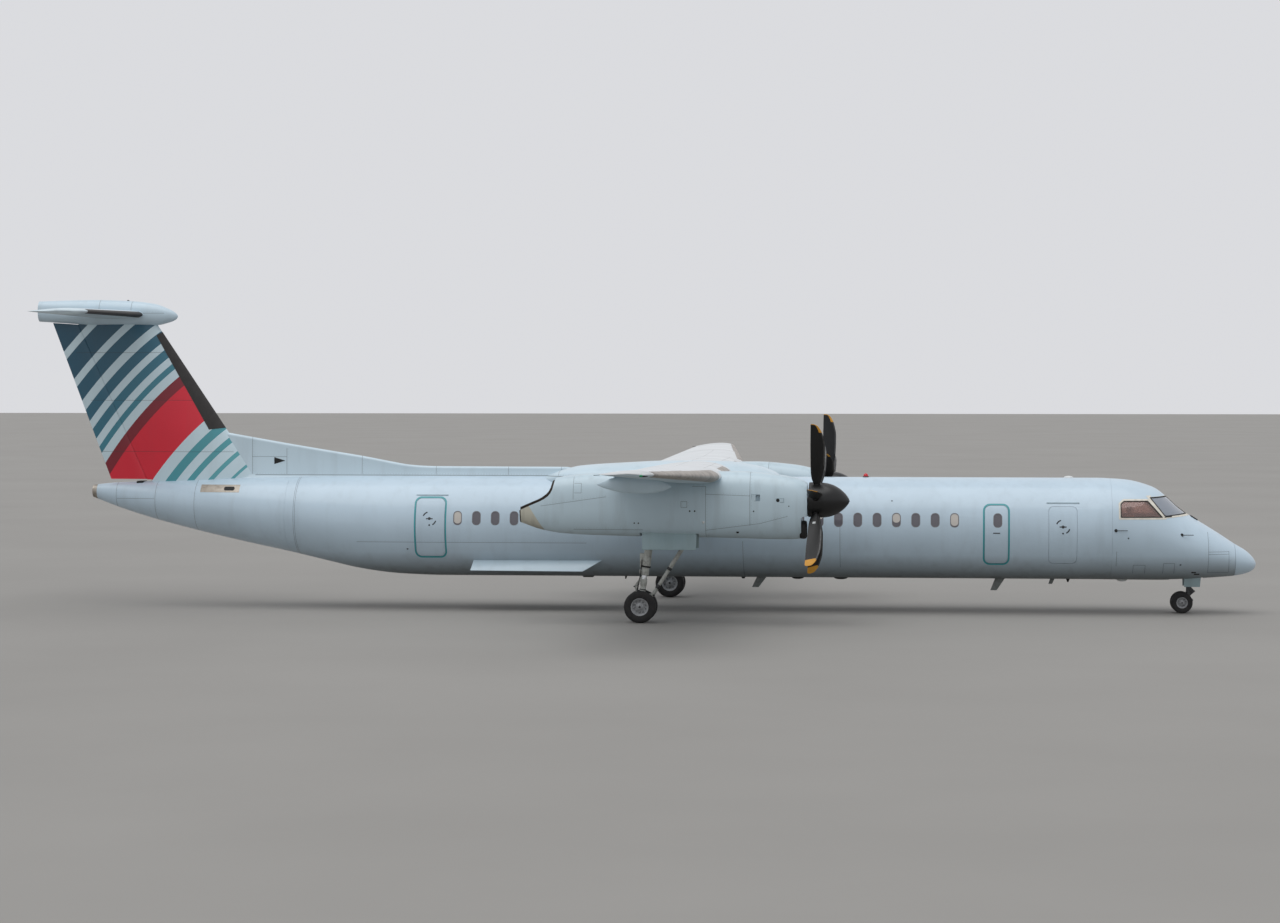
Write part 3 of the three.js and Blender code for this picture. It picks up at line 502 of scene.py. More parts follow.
# Polyurethane enamel on the nacelle's composite and metal cowls: stained by exhaust towards the rear, with
# painted shade along the bottom of the cowls
nacellePaint = enamel("polyurethane_nacelle_enamel", "#B8CBD4", [
    ("x", -1.125, "z", 3.14, 3.7), ("x", -0.92, "z", 3.3, 3.54), ("z", 3.3, "x", -1.1, -0.92),
    ("z", 3.54, "x", -1.1, -0.92), ("z", 2.375, "x", -1.13, 0.65), ("x", 2.238, "z", 2.2, 3.48),
    ("z", 3.48, "x", 1.9, 2.24), ("x", 1.62, "z", 2.95, 3.1), ("x", 1.77, "z", 2.95, 3.1),
    ("z", 3.1, "x", 1.62, 1.77), ("z", 2.95, "x", 1.62, 1.77), ("x", 3.355, "z", 2.5, 3.85),
    ("z", 2.962, "x", -1.968, -0.281, 0.146), ("z", 3.285, "x", 2.24, 3.36, -0.035),
    ("z", 2.371, "x", 2.236, 3.606, 0.131), ("z", 2.551, "x", 3.606, 4.3, 0.265),
], grime=0.2, sootAndShade=(2.1, 2.4, 0.1))
# The same enamel baked and stained beige by the exhaust, on the panel at the nacelle's rear end; darker
# towards its bottom, soot and painted shade
bakedPaint = enamel("heat_stained_nacelle_enamel", "#BDBBAC", roughness=0.45, grime=0.45,
                    sootAndShade=(2.3, 2.6, 0.25))
# Enamel on the roof fairing and the dorsal fin's glass-fibre panels
fairingPaint = enamel("polyurethane_fairing_enamel", "#BDD0DA", [
    ("x", -10.487, "z", 3.6, 4.7), ("x", -9.535, "z", 3.6, 4.3), ("x", -7.46, "z", 3.6, 4.2),
    ("x", -5.43, "z", 3.6, 4.0), ("x", -3.46, "z", 3.6, 4.0), ("x", -2.02, "z", 3.6, 4.0),
    # The two joints along the dorsal fin's foot, where it meets the crown, make a dark band: a joint with
    # painted shade in the crease
    ("z", 4.07, "x", -10.49, -9.535), ("z", 3.572, "x", -10.4, -1.6),
    ("z", 3.584, "x", -10.4, -1.6),
], grime=0.1)
# Enamel on the tail bullet, with the seams of its cap and fairings above the tailplane
bulletPaint = enamel("polyurethane_bullet_enamel", "#BACDD8", [
    ("x", -13.79, "z", 7.96, 8.4), ("x", -14.68, "z", 7.96, 8.4), ("z", 7.97, "x", -13.79, -12.9),
], grime=0.1)
# Enamel on the tailplane: pale, streaked backwards
tailplanePaint = enamel("polyurethane_tailplane_enamel", "#C3D2D9", bothSides([
    ("y", 1.5, "x", -15.6, -13.3), ("y", 3.1, "x", -15.4, -13.5),
]), grime=0.12, streakAxis=0)
# Enamel on the fin and rudder, masked in arcs of several colours
finPaint = enamel("polyurethane_fin_enamel", finArcs["pale"], [
    ("z", 4.2, "x", -15.0, -11.0), ("z", 5.6, "x", -15.0, -11.8), ("z", 6.9, "x", -15.4, -12.8),
], grime=0.06, colourNodes=finColours)
# Teal enamel masked and sprayed round the exits
tealPaint = enamel("teal_marking_enamel", "#38949B", grime=0.1)
# Neoprene de-icing boots, moulded sheet: near black and dull, a little grey with dust
bootRubber = rubber("neoprene_deice_boot", "#262322", 0.55, dustShare=0.2)
# The wing's boots are worn and coated grey-brown, with a dull metallic look where they are polished
wingBoot = hardFinish("silvered_neoprene_wing_boot", "#A39C94", 0.42, 0.25, "#5A534C", 0.75, patch=330)
# Vulcanised tyre rubber: moulded, near black, brown with dust on the tread
tyreRubber = rubber("vulcanised_tyre_rubber", "#18181A", 0.78, "#3C3934", 0.4, patch=110)
# Forged aluminium wheels: painted once, now dull grey with brake dust
wheelAlloy = hardFinish("forged_aluminium_wheel", "#A2A4A6", 0.45, 0.45, "#3A3733", 0.5, patch=33)
# Epoxy enamel brushed and sprayed on forged steel legs: light grey, oily in patches
gearEnamel = hardFinish("epoxy_gear_enamel", "#ADAFA9", 0.42, 0.1, "#38352F", 0.55, patch=80)
# Teal-grey enamel on the gear doors, rolled sheet inside and out
doorEnamel = enamel("polyurethane_gear_door_enamel", "#93A9AE", roughness=0.4, grime=0.2)
# Hard chrome, ground and polished, on the sliding part of each leg
oleoChrome = hardFinish("hard_chrome_oleo", "#C9CBCC", 0.16, 1.0, "#8A8278", 0.2, patch=50)
# Nickel alloy sheet at the exhaust: rolled, blued and browned by heat
darkSteel = hardFinish("heat_stained_nickel_alloy", "#3A342F", 0.5, 0.8, "#15120F", 0.7, patch=200)
# Machined steel of brakes, bearings and bolts: dark, oily
brakeSteel = hardFinish("machined_brake_steel", "#4A4B4C", 0.4, 0.85, "#1F1C19", 0.6, patch=40)
# Cast aluminium of the engine's gearbox and case: pale, pitted, stained by oil
engineCasting = hardFinish("cast_aluminium_engine_case", "#7C7C78", 0.55, 0.8, "#2C2822", 0.5, patch=90)
# Silicone seals round the cabin windows, greyed by weather
windowSeal = rubber("weathered_silicone_window_seal", "#77767A", 0.55)
# Polyurethane coating sprayed on composite blades: charcoal, half dull
bladeCoating = rubber("polyurethane_blade_coating", "#08090A", 0.46, "#1E1E1E", 0.3, patch=200)
# Ochre enamel sprayed on the blade tips
bladeOchre = rubber("ochre_tip_enamel", "#D99B30", 0.5, "#5A4015", 0.3, patch=140)
# Electroformed nickel sheath on the blades' front edges: dark grey, worn bright in places
bladeNickel = hardFinish("electroformed_nickel_edge", "#5A5A5A", 0.38, 0.9, "#262524", 0.5, patch=80)
# Black enamel sprayed on the spun spinner: glossier than the blades
spinnerPaint = rubber("black_spinner_enamel", "#070809", 0.36, "#1A1A1A", 0.25, patch=250)
# Cream enamel on the cockpit's window frames, brushed at its edges
creamEnamel = hardFinish("cream_window_frame_enamel", "#D6D2C6", 0.45, 0.0, "#7B7567", 0.3, patch=120)
# Moulded silicone seals and black bonding rubber: dull, black; the same black is painted shade on the walls
# of gaps, pockets and openings
blackSealAndShade = rubber("black_seal_and_painted_shade", "#0C0D0E", 0.7, dustShare=0.15)
# Hose of rubber under a steel braid; the braid's 2 mm plait is drawn at 10 mm to show
hoseBraid = rubber("braided_hose", "#1B1B1C", 0.6, dustShare=0.3, grain=10)
# Extruded aluminium rail, painted grey
frameGrey = hardFinish("painted_drip_rail", "#8FA3AC", 0.4, 0.1, "#5A6468", 0.3, patch=100)
# Moulded polyamide housings of antennas: off white, half dull
whitePlastic = hardFinish("moulded_white_housing", "#D4D8D8", 0.4, 0.0, "#8E8B84", 0.2, patch=80)
# Glass-fibre blade antennas painted dull grey
antennaGrey = hardFinish("grey_antenna_enamel", "#777C7A", 0.5, 0.0, "#3F413F", 0.5, patch=90)
# Rolled titanium panel left bare near the hot air outlet: warm grey, brushed
bareMetal = hardFinish("bare_titanium_panel", "#A39C92", 0.38, 0.85, "#5C5348", 0.4, patch=110)
# Anodised aluminium of treads and rails, extruded
anodisedAlloy = hardFinish("anodised_aluminium_tread", "#AEB4B8", 0.4, 0.7, "#6A6F72", 0.3, patch=100)
# Laminate of the cabin's inner walls: pressed, grey and dull
cabinTrim = hardFinish("grey_cabin_laminate", "#8E8C86", 0.6, 0.0, "#5F5D58", 0.3, patch=110)
# Wool seat covers; the 1 mm weave is drawn at 12 mm to show
seatCloth = rubber("woven_wool_seat_cover", "#CDB9A0", 0.9, "#6A564E", 0.5, patch=25, grain=12)
# Powder-coated instrument panel: charcoal, finely textured
panelPlastic = rubber("powder_coated_instrument_panel", "#77594F", 0.55, dustShare=0.2)
# Stretched acrylic cabin panes as seen from outside, polished; drawn opaque, their dark grey is painted shade
# of the dim cabin behind them
cabinPane = glassFinish("stretched_acrylic_cabin_pane", "#66646A", 0.0)
# Moulded blinds seen through the panes: beige, softened by the acrylic
blindPane = glassFinish("acrylic_pane_over_drawn_blind", "#C2BDB6", 0.0, low=0.15, high=0.25)
# Laminated cockpit side glass: bronze tint, polished
sideGlass = glassFinish("laminated_side_window_glass", "#D8B9B1", 0.85)
# Heated windshield glass: its gold film makes it mirror-like, and its pale grey colour is a painted
# reflection of the sky
windshieldGlass = glassFinish("heated_windshield_glass", "#A3ABB6", 0.35)
# Coloured and clear polycarbonate lenses, moulded
greenLens = glassFinish("green_polycarbonate_lens", "#17C47C", 0.0)
redLens = glassFinish("red_polycarbonate_lens", "#C2202C", 0.0)
clearLens = glassFinish("clear_polycarbonate_lens", "#C9D2D6", 0.0)
print("materials made:", len(bpy.data.materials))


# Fuselage: sections from the cut end of the tail to the tip of the nose
fuselage = {
    "rows": [  # x, top, bottom, half width
        (-14.93, 3.29, 2.95, 0.17), (-14.21, 3.36, 2.678, 0.33), (-13.24, 3.395, 2.376, 0.53),
        (-11.95, 3.455, 2.043, 0.76), (-10.53, 3.512, 1.721, 0.985), (-9.39, 3.535, 1.482, 1.14),
        (-8.4, 3.55, 1.253, 1.24), (-7.4, 3.56, 1.034, 1.31), (-6.4, 3.562, 0.915, 1.34),
        (-5.2, 3.565, 0.875, 1.345), (12.3, 3.565, 0.875, 1.345), (12.6, 3.552, 0.872, 1.338),
        (13.0, 3.525, 0.87, 1.32), (13.72, 3.335, 0.869, 1.245), (14.08, 3.078, 0.872, 1.18),
        (14.36, 2.82, 0.88, 1.12), (14.64, 2.611, 0.893, 1.05), (15.0, 2.39, 0.922, 0.94),
        (15.49, 2.083, 0.958, 0.75), (15.84, 1.85, 0.99, 0.575), (16.17, 1.647, 1.06, 0.372),
        (16.34, 1.48, 1.145, 0.205), (16.4, 1.38, 1.23, 0.095), (16.42, 1.325, 1.285, 0.025),
    ],
    "sides": 96,
    "tailJoint": -9.39,
    "cockpitRear": 12.6,
    "radomeJoint": 15.84,
    "radomeTip": 16.42,
    "jointGap": 0.003,
    "radomeGap": (0.0025, 0.004),  # behind and ahead of the joint
    "floor": 1.6,
    "wall": 0.08,
}


def ellipseRing(x, y, middle, halfWidth, halfHeight, sides, power=2.0):
    points = []
    for j in range(sides):
        angle = math.tau * (j + 0.5) / sides
        across, up = math.cos(angle), math.sin(angle)
        points.append((x, y + halfWidth * math.copysign(abs(across) ** (2 / power), across),
                       middle + halfHeight * math.copysign(abs(up) ** (2 / power), up)))
    return points


# A closed barrel through a table of x, top, bottom, half width and, where it has one, squareness
def barrel(rows, places, sides, power=2.0, grow=0.0, y=0.0):
    rings = []
    for x in places:
        _, top, bottom, half, *own = between(rows, x)
        rings.append(ellipseRing(x, y, (top + bottom) / 2, half + grow, (top - bottom) / 2 + grow, sides,
                                 *(own or [power])))
    return skin("barrel", rings)


def hullShell(places, grow=0.0):
    return barrel(fuselage["rows"], places, fuselage["sides"], grow=grow)


# Places that draw closer towards a rounded end
def closingPlaces(start, end, count):
    return [start + (end - start) * math.sin(math.radians(90 * i / count)) for i in range(1, count + 1)]


gap = fuselage["jointGap"]
rearJoint, noseJoint, tipJoint = fuselage["tailJoint"], fuselage["cockpitRear"], fuselage["radomeJoint"]
tailPlaces = [-14.93] + spread(-14.8, rearJoint - gap, 0.3)
cabinPlaces = spread(rearJoint, -5.2, 0.3) + spread(-5.2, 12.3, 0.8)[1:] + [12.45, noseJoint - gap / 2]
nosePlaces = spread(noseJoint + gap / 2, tipJoint - fuselage["radomeGap"][0], 0.1)
tipPlaces = [tipJoint + fuselage["radomeGap"][1]] + closingPlaces(tipJoint, fuselage["radomeTip"], 14)

# Doors: side (1 is port), x1, x2, z1, z2, corner radius, has a teal outline
doorTable = {
    "aft_service_door": (-1, -5.78, -5.0, 1.45, 3.0, 0.14, True),
    "emergency_exit": (-1, 9.29, 9.9, 1.34, 2.87, 0.14, True),
    "forward_baggage_door": (-1, 10.95, 11.69, 1.35, 2.85, 0.12, False),
    "aft_passenger_door": (1, -5.78, -5.0, 1.25, 3.0, 0.14, True),
    "aft_baggage_door": (1, -8.3, -7.05, 1.5, 3.0, 0.12, False),
}
doorPanel = {"depth": 0.1, "gap": 0.006, "outline": 0.045, "outlineProud": 0.0016}


# A piece of the hull's skin between two depths, cut to a shape
def hullPatch(places, outer, inner, cutter, finish):
    inside = hullShell([places[0] - 0.05] + places[1:-1] + [places[-1] + 0.05], -inner)
    layer = carve(hullShell(places, outer), inside)
    return painted(carve(layer, cutter, "INTERSECT"), finish)


def sideReach(side, near=0.5, far=1.6):
    return (near, far) if side > 0 else (-far, -near)


# Shell pieces of the doors wait here until their windows are cut
cabin = painted(hullShell(cabinPlaces), hullPaint)
doorPanels = {}
for doorName, (side, x1, x2, z1, z2, corner, marked) in doorTable.items():
    local = [x1 - 0.3] + spread(x1 - 0.2, x2 + 0.2, 0.2) + [x2 + 0.3]
    y1, y2 = sideReach(side)
    shape = prism(rectangle(x1, x2, z1, z2, -doorPanel["gap"]), y1, y2, corner)
    doorPanels[doorName] = hullPatch(local, 0.0, doorPanel["depth"], shape, hullPaint)
    # The skin is cut back round each door to the panel's depth; the walls of this gap are painted black, as
    # painted shade
    core = hullShell([x1 - 0.4, x1 - 0.1, x2 + 0.1, x2 + 0.4], doorPanel["gap"] - doorPanel["depth"])
    recess = carve(prism(rectangle(x1, x2, z1, z2), y1, y2, corner), core)
    carve(cabin, painted(recess, blackSealAndShade))
    if marked:
        edge = carve(prism(rectangle(x1, x2, z1, z2, doorPanel["outline"]), y1, y2, corner + 0.04),
                     prism(rectangle(x1, x2, z1, z2, 0.002), y1 - 0.1, y2 + 0.1, corner))
        handOver(hullPatch(local, doorPanel["outlineProud"], 0.01, edge, tealPaint), f"{doorName}_outline")
print("doors fitted")


# Cabin windows: a row on each side, each a grey seal round a pane set back in the skin, some blinds drawn
cabinWindows = {
    "first": -4.65,
    "pitch": 0.506,
    "right": list(range(27)) + [28.22],  # the last is in the emergency exit
    "left": list(range(31)),
    "blinds": {  # place, and the share of the pane that the blind covers
        "right": {0: 0.93, 5: 0.3, 9: 0.3, 13: 0.6, 16: 0.35, 19: 0.45, 23: 0.7, 26: 0.93},
        "left": {1: 0.4, 4: 0.9, 7: 0.3, 11: 0.9, 12: 0.5, 18: 0.35, 23: 0.9, 27: 0.45},
    },
    "middleZ": 2.48,
    "seal": (0.232, 0.374, 0.105),  # width, height, corner radius
    "pane": (0.192, 0.334, 0.086),
    "proud": 0.002,
    "setBack": 0.007,
    "pocket": 0.03,
}


def windowRow(places, shape, reach):
    width, height, corner = cabinWindows[shape]
    middle = cabinWindows["middleZ"]
    first = prism(rectangle(-width / 2, width / 2, middle - height / 2, middle + height / 2), *reach, corner)
    row = []
    for place in places:
        at = cabinWindows["first"] + cabinWindows["pitch"] * place
        row.append(moved(copyOf(first), Matrix.Translation((at, 0, 0))))
    drop(first)
    return merged(row)


def blindRow(blinds, reach):
    width, height, corner = cabinWindows["pane"]
    top = cabinWindows["middleZ"] + height / 2
    row = []
    for place, share in blinds.items():
        at = cabinWindows["first"] + cabinWindows["pitch"] * place
        outline = rectangle(at - width / 2, at + width / 2, top - share * height, top)
        row.append(prism(outline, *reach, min(corner, 0.4 * share * height)))
    return merged(row)


straightPlaces = [-5.1, 0.0, 5.0, 11.3]
for sideName, side in (("right", -1), ("left", 1)):
    places = cabinWindows[sideName]
    blinds = cabinWindows["blinds"][sideName]
    reach = sideReach(side, 1.2)
    # Each pane sits in a shallow pocket whose walls are painted black: painted shade in the recess
    pocket = windowRow(places, "pane", reach)
    carve(pocket, hullShell([-5.2, 11.4], -cabinWindows["pocket"]))
    carve(cabin, copyOf(painted(pocket, blackSealAndShade)))
    if side < 0:
        carve(doorPanels["emergency_exit"], copyOf(pocket))
    drop(pocket)
    ring = carve(windowRow(places, "seal", reach), windowRow(places, "pane", sideReach(side, 1.1, 1.7)))
    proud, back, depth = cabinWindows["proud"], cabinWindows["pocket"], cabinWindows["setBack"]
    seals = hullPatch(straightPlaces, proud, back, ring, windowSeal)
    handOver(seals, f"cabin_window_seals_{sideName}")
    panes = hullPatch(straightPlaces, -depth, back + 0.002, windowRow(places, "pane", reach), cabinPane)
    handOver(panes, f"cabin_window_panes_{sideName}", slotName="cockpit_glass")
    drawn = hullPatch(straightPlaces, 0.002 - depth, depth + 0.01, blindRow(blinds, reach), blindPane)
    handOver(drawn, f"cabin_window_blinds_{sideName}", slotName="cockpit_glass")
print("cabin windows set")


# Airstair door, port side: a curved panel hinged at its foot, with treads and cheeks inside
airstair = {
    "x1": 11.39, "x2": 12.21, "z1": 1.2, "z2": 2.873,
    "inside": 0.56,
    "gap": 0.008,
    "hingeGap": 0.013,  # the hull is 8 mm proud of the hinge, so the foot needs this much to swing past it
    "panel": 0.09,
    "radius": 1.345,
    "innerRadius": 1.29,
    "treads": [1.45, 1.72, 1.99, 2.26, 2.53],
    "treadParts": [  # in from each side, far and near from the skin, foot, top, bevel, finish
        (0.06, 0.29, 0.05, -0.02, 0.02, 0.006, anodisedAlloy),
        (0.09, 0.27, 0.08, -0.023, -0.019, 0.001, blackSealAndShade),
    ],
    "cheek": (0.04, 0.25, 1.3, 2.64),  # thickness, depth, foot and top
}


def stairDoor():
    a = airstair
    local = spread(11.2, 12.4, 0.2)
    outline = rectangle(a["x1"] + a["gap"], a["x2"] - a["gap"], a["z1"] + a["hingeGap"], a["z2"] - a["gap"])
    panel = hullPatch(local, 0.0, a["panel"], prism(outline, 0.5, 1.6, 0.035), hullPaint)
    inner = a["innerRadius"]
    paintFaces(panel, cabinTrim, lambda face: math.hypot(face.center.y, face.center.z - hullAxis) < inner)
    pieces = [panel]
    for z in a["treads"]:
        y = math.sqrt(a["radius"] ** 2 - (z - hullAxis) ** 2)
        for aside, far, near, foot, top, bevel, finish in a["treadParts"]:
            x1, x2 = a["x1"] + aside, a["x2"] - aside
            pieces.append(block(x1, x2, y - far, y - near, z + foot, z + top, bevel, finish))
    thick, depth, foot, top = a["cheek"]
    for x in (a["x1"] + thick, a["x2"] - 2 * thick):
        cheek = prism(rectangle(x, x + thick, foot, top), 0.6, 1.5, 0.015)
        pieces.append(hullPatch(local, -0.01, depth, cheek, cabinTrim))
    return merged(pieces)


handOver(stairDoor(), "airstair_door_panel", "airstair_door", "airframe_paint", ["airstair_door"])
doorway = prism(rectangle(airstair["x1"], airstair["x2"], airstair["z1"], airstair["z2"]), airstair["inside"],
                1.6, 0.03)
carve(cabin, painted(doorway, cabinTrim))
handOver(cabin, "cabin_shell", replaced=["fuselage"], weighted=True)
for doorName, panel in doorPanels.items():
    handOver(panel, f"{doorName}_panel", replaced=[doorName])
print("airstair door and cabin shell done")


# Nose: a hollow shell with the cockpit windows cut in it, over the nose gear bay
cockpit = {
    "sideWindow": [(12.81, 2.92), (12.9, 3.0), (13.535, 3.0), (13.921, 2.562), (12.81, 2.562)],
    "windshield": [(13.575, 3.085), (14.08, 3.11), (14.66, 2.64), (13.97, 2.585)],
    "corner": 0.025,
    "frame": 0.044,
    "noRim": [(13.62, 3.092), (14.4, 3.13), (14.4, 3.4), (13.62, 3.4)],  # no frame shows above the windshield
    "seal": 0.026,
    "post": 0.03,
    "sideReach": (0.7, 1.5),
    "glass": (0.012, 0.034),
    "bay": (14.15, 15.05, 0.26, 1.45),  # x1, x2, half width, top
}


# An outline moved outwards by a distance, its corners kept sharp
def grown(outline, distance):
    area = sum(a[0] * b[1] - b[0] * a[1] for a, b in zip(outline, outline[1:] + outline[:1]))
    turn = 1 if area > 0 else -1
    result = []
    for i, (x, z) in enumerate(outline):
        before, after = Vector(outline[i - 1]), Vector(outline[(i + 1) % len(outline)])
        here = Vector((x, z))
        a, b = (here - before).normalized(), (after - here).normalized()
        outA, outB = Vector((a.y, -a.x)) * turn, Vector((b.y, -b.x)) * turn
        aim = (outA + outB).normalized()
        result.append(tuple(here + aim * distance / max(0.3, aim.dot(outA))))
    return result


def windowPrism(shape, side, distance=0.0, reach=None):
    near = cockpit["sideReach"] if shape == "sideWindow" else (cockpit["post"], 1.5)
    y1, y2 = sideReach(side, *(reach or near))
    return prism(grown(cockpit[shape], distance), y1, y2, cockpit["corner"])


noseShell = painted(hullShell(nosePlaces), nosePaint)
room = hullShell(spread(12.5, 14.9, 0.1), -fuselage["wall"])
carve(room, block(12.4, 15.0, -1.5, 1.5, fuselage["floor"], 4.0), "INTERSECT")
carve(noseShell, painted(room, panelPlastic))
x1, x2, half, top = cockpit["bay"]
carve(noseShell, block(x1, x2, -half, half, 0.3, top, finish=gearEnamel))
# The walls of the cockpit window openings are painted black: painted shade in the reveals
for side in (1, -1):
    for shape in ("sideWindow", "windshield"):
        carve(noseShell, painted(windowPrism(shape, side), blackSealAndShade))
handOver(noseShell, "nose_shell", replaced=["nose_section"], weighted=True)

glassNames = {"sideWindow": "side_window", "windshield": "windshield"}
nearPlaces = spread(12.6, 14.95, 0.1)
outerGlass, innerGlass = cockpit["glass"]
for sideName, side in (("left", 1), ("right", -1)):
    for shape, node in glassNames.items():
        tint = sideGlass if shape == "sideWindow" else windshieldGlass
        pane = hullPatch(nearPlaces, -outerGlass, innerGlass, windowPrism(shape, side, -0.001), tint)
        handOver(pane, f"{node}_glass_{sideName}", "root", "cockpit_glass", [f"{node}_{sideName}"])
openings = [windowPrism(shape, side, 0.0) for side in (1, -1) for shape in glassNames]
rims = [windowPrism("sideWindow", 1, cockpit["frame"]), windowPrism("sideWindow", -1, cockpit["frame"]),
        prism(grown(cockpit["windshield"], cockpit["frame"]), -1.5, 1.5, cockpit["corner"])]
rim = rims[0]
for other in rims[1:]:
    carve(rim, other, "UNION")
for opening in openings + [prism(cockpit["noRim"], -1.6, 1.6)]:
    carve(rim, opening)
surround = hullPatch(nearPlaces, 0.004, 0.03, rim, creamEnamel)
seals = []
for side in (1, -1):
    for shape in glassNames:
        seal = carve(windowPrism(shape, side, 0.002), windowPrism(shape, side, -cockpit["seal"], (0.01, 1.7)))
        seals.append(hullPatch(nearPlaces, -0.003, 0.03, seal, blackSealAndShade))
handOver(merged([surround] + seals), "cockpit_window_frames")

handOver(painted(hullShell(tipPlaces), radomePaint), "radome_shell", replaced=["radome"])
tailShell = painted(hullShell(tailPlaces), hullPaint)
carve(tailShell, tube((-14.6, 0, 3.13), (-15.2, 0, 3.11), 0.13, darkSteel))
paintFaces(tailShell, bareMetal, lambda face: face.center.x < -14.8 or face.normal.x < -0.9)
handOver(tailShell, "tail_cone_shell", replaced=["tail_cone"], weighted=True)
print("nose and tail cone done")


# Cockpit inside: floor, two seats, instrument panel under its hood, and the console
flightDeck = {
    "floor": [(12.7, 14.45, -0.7, 0.7, 1.603, 1.7, 0.005, cabinTrim)],
    "seats": (0.48, -0.48),
    "seat": [  # blocks: x1, x2, y1, y2, z1, z2, bevel, finish
        (13.18, 13.64, -0.23, 0.23, 1.8, 1.98, 0.05, seatCloth),
        (13.07, 13.2, -0.23, 0.23, 1.95, 2.62, 0.045, seatCloth),
        (13.08, 13.19, -0.12, 0.12, 2.63, 2.8, 0.04, seatCloth),
        (13.25, 13.55, -0.16, 0.16, 1.7, 1.8, 0.01, panelPlastic),
        (13.2, 13.5, 0.235, 0.285, 2.12, 2.17, 0.02, panelPlastic),
        (13.2, 13.5, -0.285, -0.235, 2.12, 2.17, 0.02, panelPlastic),
    ],
    "panel": [(14.12, 14.4, -0.72, 0.72, 1.7, 2.3, 0.02, panelPlastic)],
    "hood": [(14.0, 2.33), (14.42, 2.3), (14.42, 2.36), (14.02, 2.4)],
    "hoodHalf": 0.74,
    "console": [(13.64, 14.14, -0.16, 0.16, 1.69, 2.1, 0.02, panelPlastic)],
    "screen": [(14.105, 14.125, 0.0, 0.17, 2.04, 2.24, 0.006, cabinPane)],
    "screens": (-0.56, -0.3, -0.05, 0.2, 0.46),
    "yoke": [  # bars: x1, y1, z1, x2, y2, z2, radius, finish
        (13.95, 0, 1.7, 13.9, 0, 2.08, 0.022, panelPlastic),
        (13.9, -0.13, 2.1, 13.9, 0.13, 2.1, 0.016, panelPlastic),
        (13.9, 0.13, 2.09, 13.88, 0.15, 2.22, 0.017, panelPlastic),
        (13.9, -0.13, 2.09, 13.88, -0.15, 2.22, 0.017, panelPlastic),
    ],
}


def flightDeckPieces():
    deck = flightDeck
    pieces = blocks(deck["floor"])
    for y in deck["seats"]:
        pieces += blocks(deck["seat"], y)
    pieces += blocks(deck["panel"])
    pieces.append(prism(deck["hood"], -deck["hoodHalf"], deck["hoodHalf"], 0.008, finish=panelPlastic))
    pieces += blocks(deck["console"])
    for y in deck["screens"]:
        pieces += blocks(deck["screen"], y)
    for y in deck["seats"]:
        pieces += bars(deck["yoke"], y)
    return merged(pieces)


handOver(flightDeckPieces(), "flight_deck", "root", "cockpit_trim", ["cockpit_interior"])
print("flight deck done")

# Lifting surfaces: one family of sections, split ahead of the hinge line into a fixed box and a moving rear
section = {"boxEnd": 0.72, "hinge": 0.765, "trailing": 0.999}
wing = {
    "camber": 0.02,
    "upright": False,
    "rows": [  # along the span, leading edge, chord, height, thickness ratio
        (0.0, 2.63, 2.73, 3.72, 0.16), (5.0, 2.63, 2.73, 3.72, 0.16), (14.06, 1.745, 1.196, 4.066, 0.13),
    ],
    "tip": (14.06, 0.148),
    "flaps": {"inboard": (1.52, 3.74), "outboard": (5.05, 9.64)},
    "rears": [(0.0, 1.519), (3.756, 5.049)],  # where the box reaches back between the moving pieces
    "aileron": (9.7, 14.0),
    "boots": [(1.6, 3.6, 0.075), (5.3, 9.5, 0.08), (9.53, 13.9, 0.095)],
    "trackFairings": [(2.65, 0.5, 1.1), (6.35, 0.4, 1.13), (8.7, 0.3, 1.12)],  # span, from and to in chords
    "lips": [(1.52, 3.755), (5.04, 14.03)],
}
fin = {
    "camber": 0.0,
    "upright": True,
    "rows": [
        (3.1, -10.068, 4.249, 0.0, 0.1), (4.95, -11.31, 3.705, 0.0, 0.11), (7.9, -13.29, 2.838, 0.0, 0.11),
    ],
    "rudder": (3.45, 7.59),
    "crown": [(-15.25, 7.55), (-15.25, 7.658), (-15.6, 7.688), (-16.15, 7.72), (-16.15, 7.55)],
    "boot": (4.7, 7.7, 0.13),
    "bootEdge": [(-13.135, 7.368), (-12.85, 7.548), (-11.2, 4.86), (-11.67, 4.806)],
    "lips": [(3.44, 7.69)],
}
tailplane = {
    "camber": 0.0,
    "upright": False,
    "rows": [(0.0, -13.42, 2.13, 7.93, 0.12), (4.54, -13.842, 1.522, 7.93, 0.11)],
    "tip": (4.54, 0.094),
    "elevator": (0.43, 4.5),
    "lips": [(0.4, 4.52)],
    "boot": (0.36, 4.3, 0.055),
}


def halfThick(share):
    return 5 * (0.2969 * math.sqrt(share) - 0.126 * share - 0.3516 * share**2 + 0.2843 * share**3
                - 0.1036 * share**4)


def stationAt(rows, at):
    i = 0
    while i < len(rows) - 2 and at > rows[i + 1][0]:
        i += 1
    low, high = rows[i], rows[i + 1]
    t = (at - low[0]) / (high[0] - low[0])
    return [at] + [a + (b - a) * t for a, b in zip(low[1:], high[1:])]


# A station past the last row, where the tip rounds off over its width
def tipStation(rows, tip, t):
    start, width = tip
    _, lead, chord, height, ratio = stationAt(rows, start)
    left = math.sqrt(max(0.0, 1 - t * t))
    return [start + width * t, lead - 0.22 * chord * (1 - left), chord * (0.52 + 0.48 * left), height,
            ratio * max(left, 0.05)]


def sectionPoint(row, share, side, camber=0.0, proud=0.0):
    _, lead, chord, _, ratio = row
    bow = 4 * camber * share * (1 - share)
    return lead - share * chord, chord * (bow + side * ratio * halfThick(share)) + side * proud


def denseShares(end, count):
    return [end * (i / count) ** 2 for i in range(count + 1)]


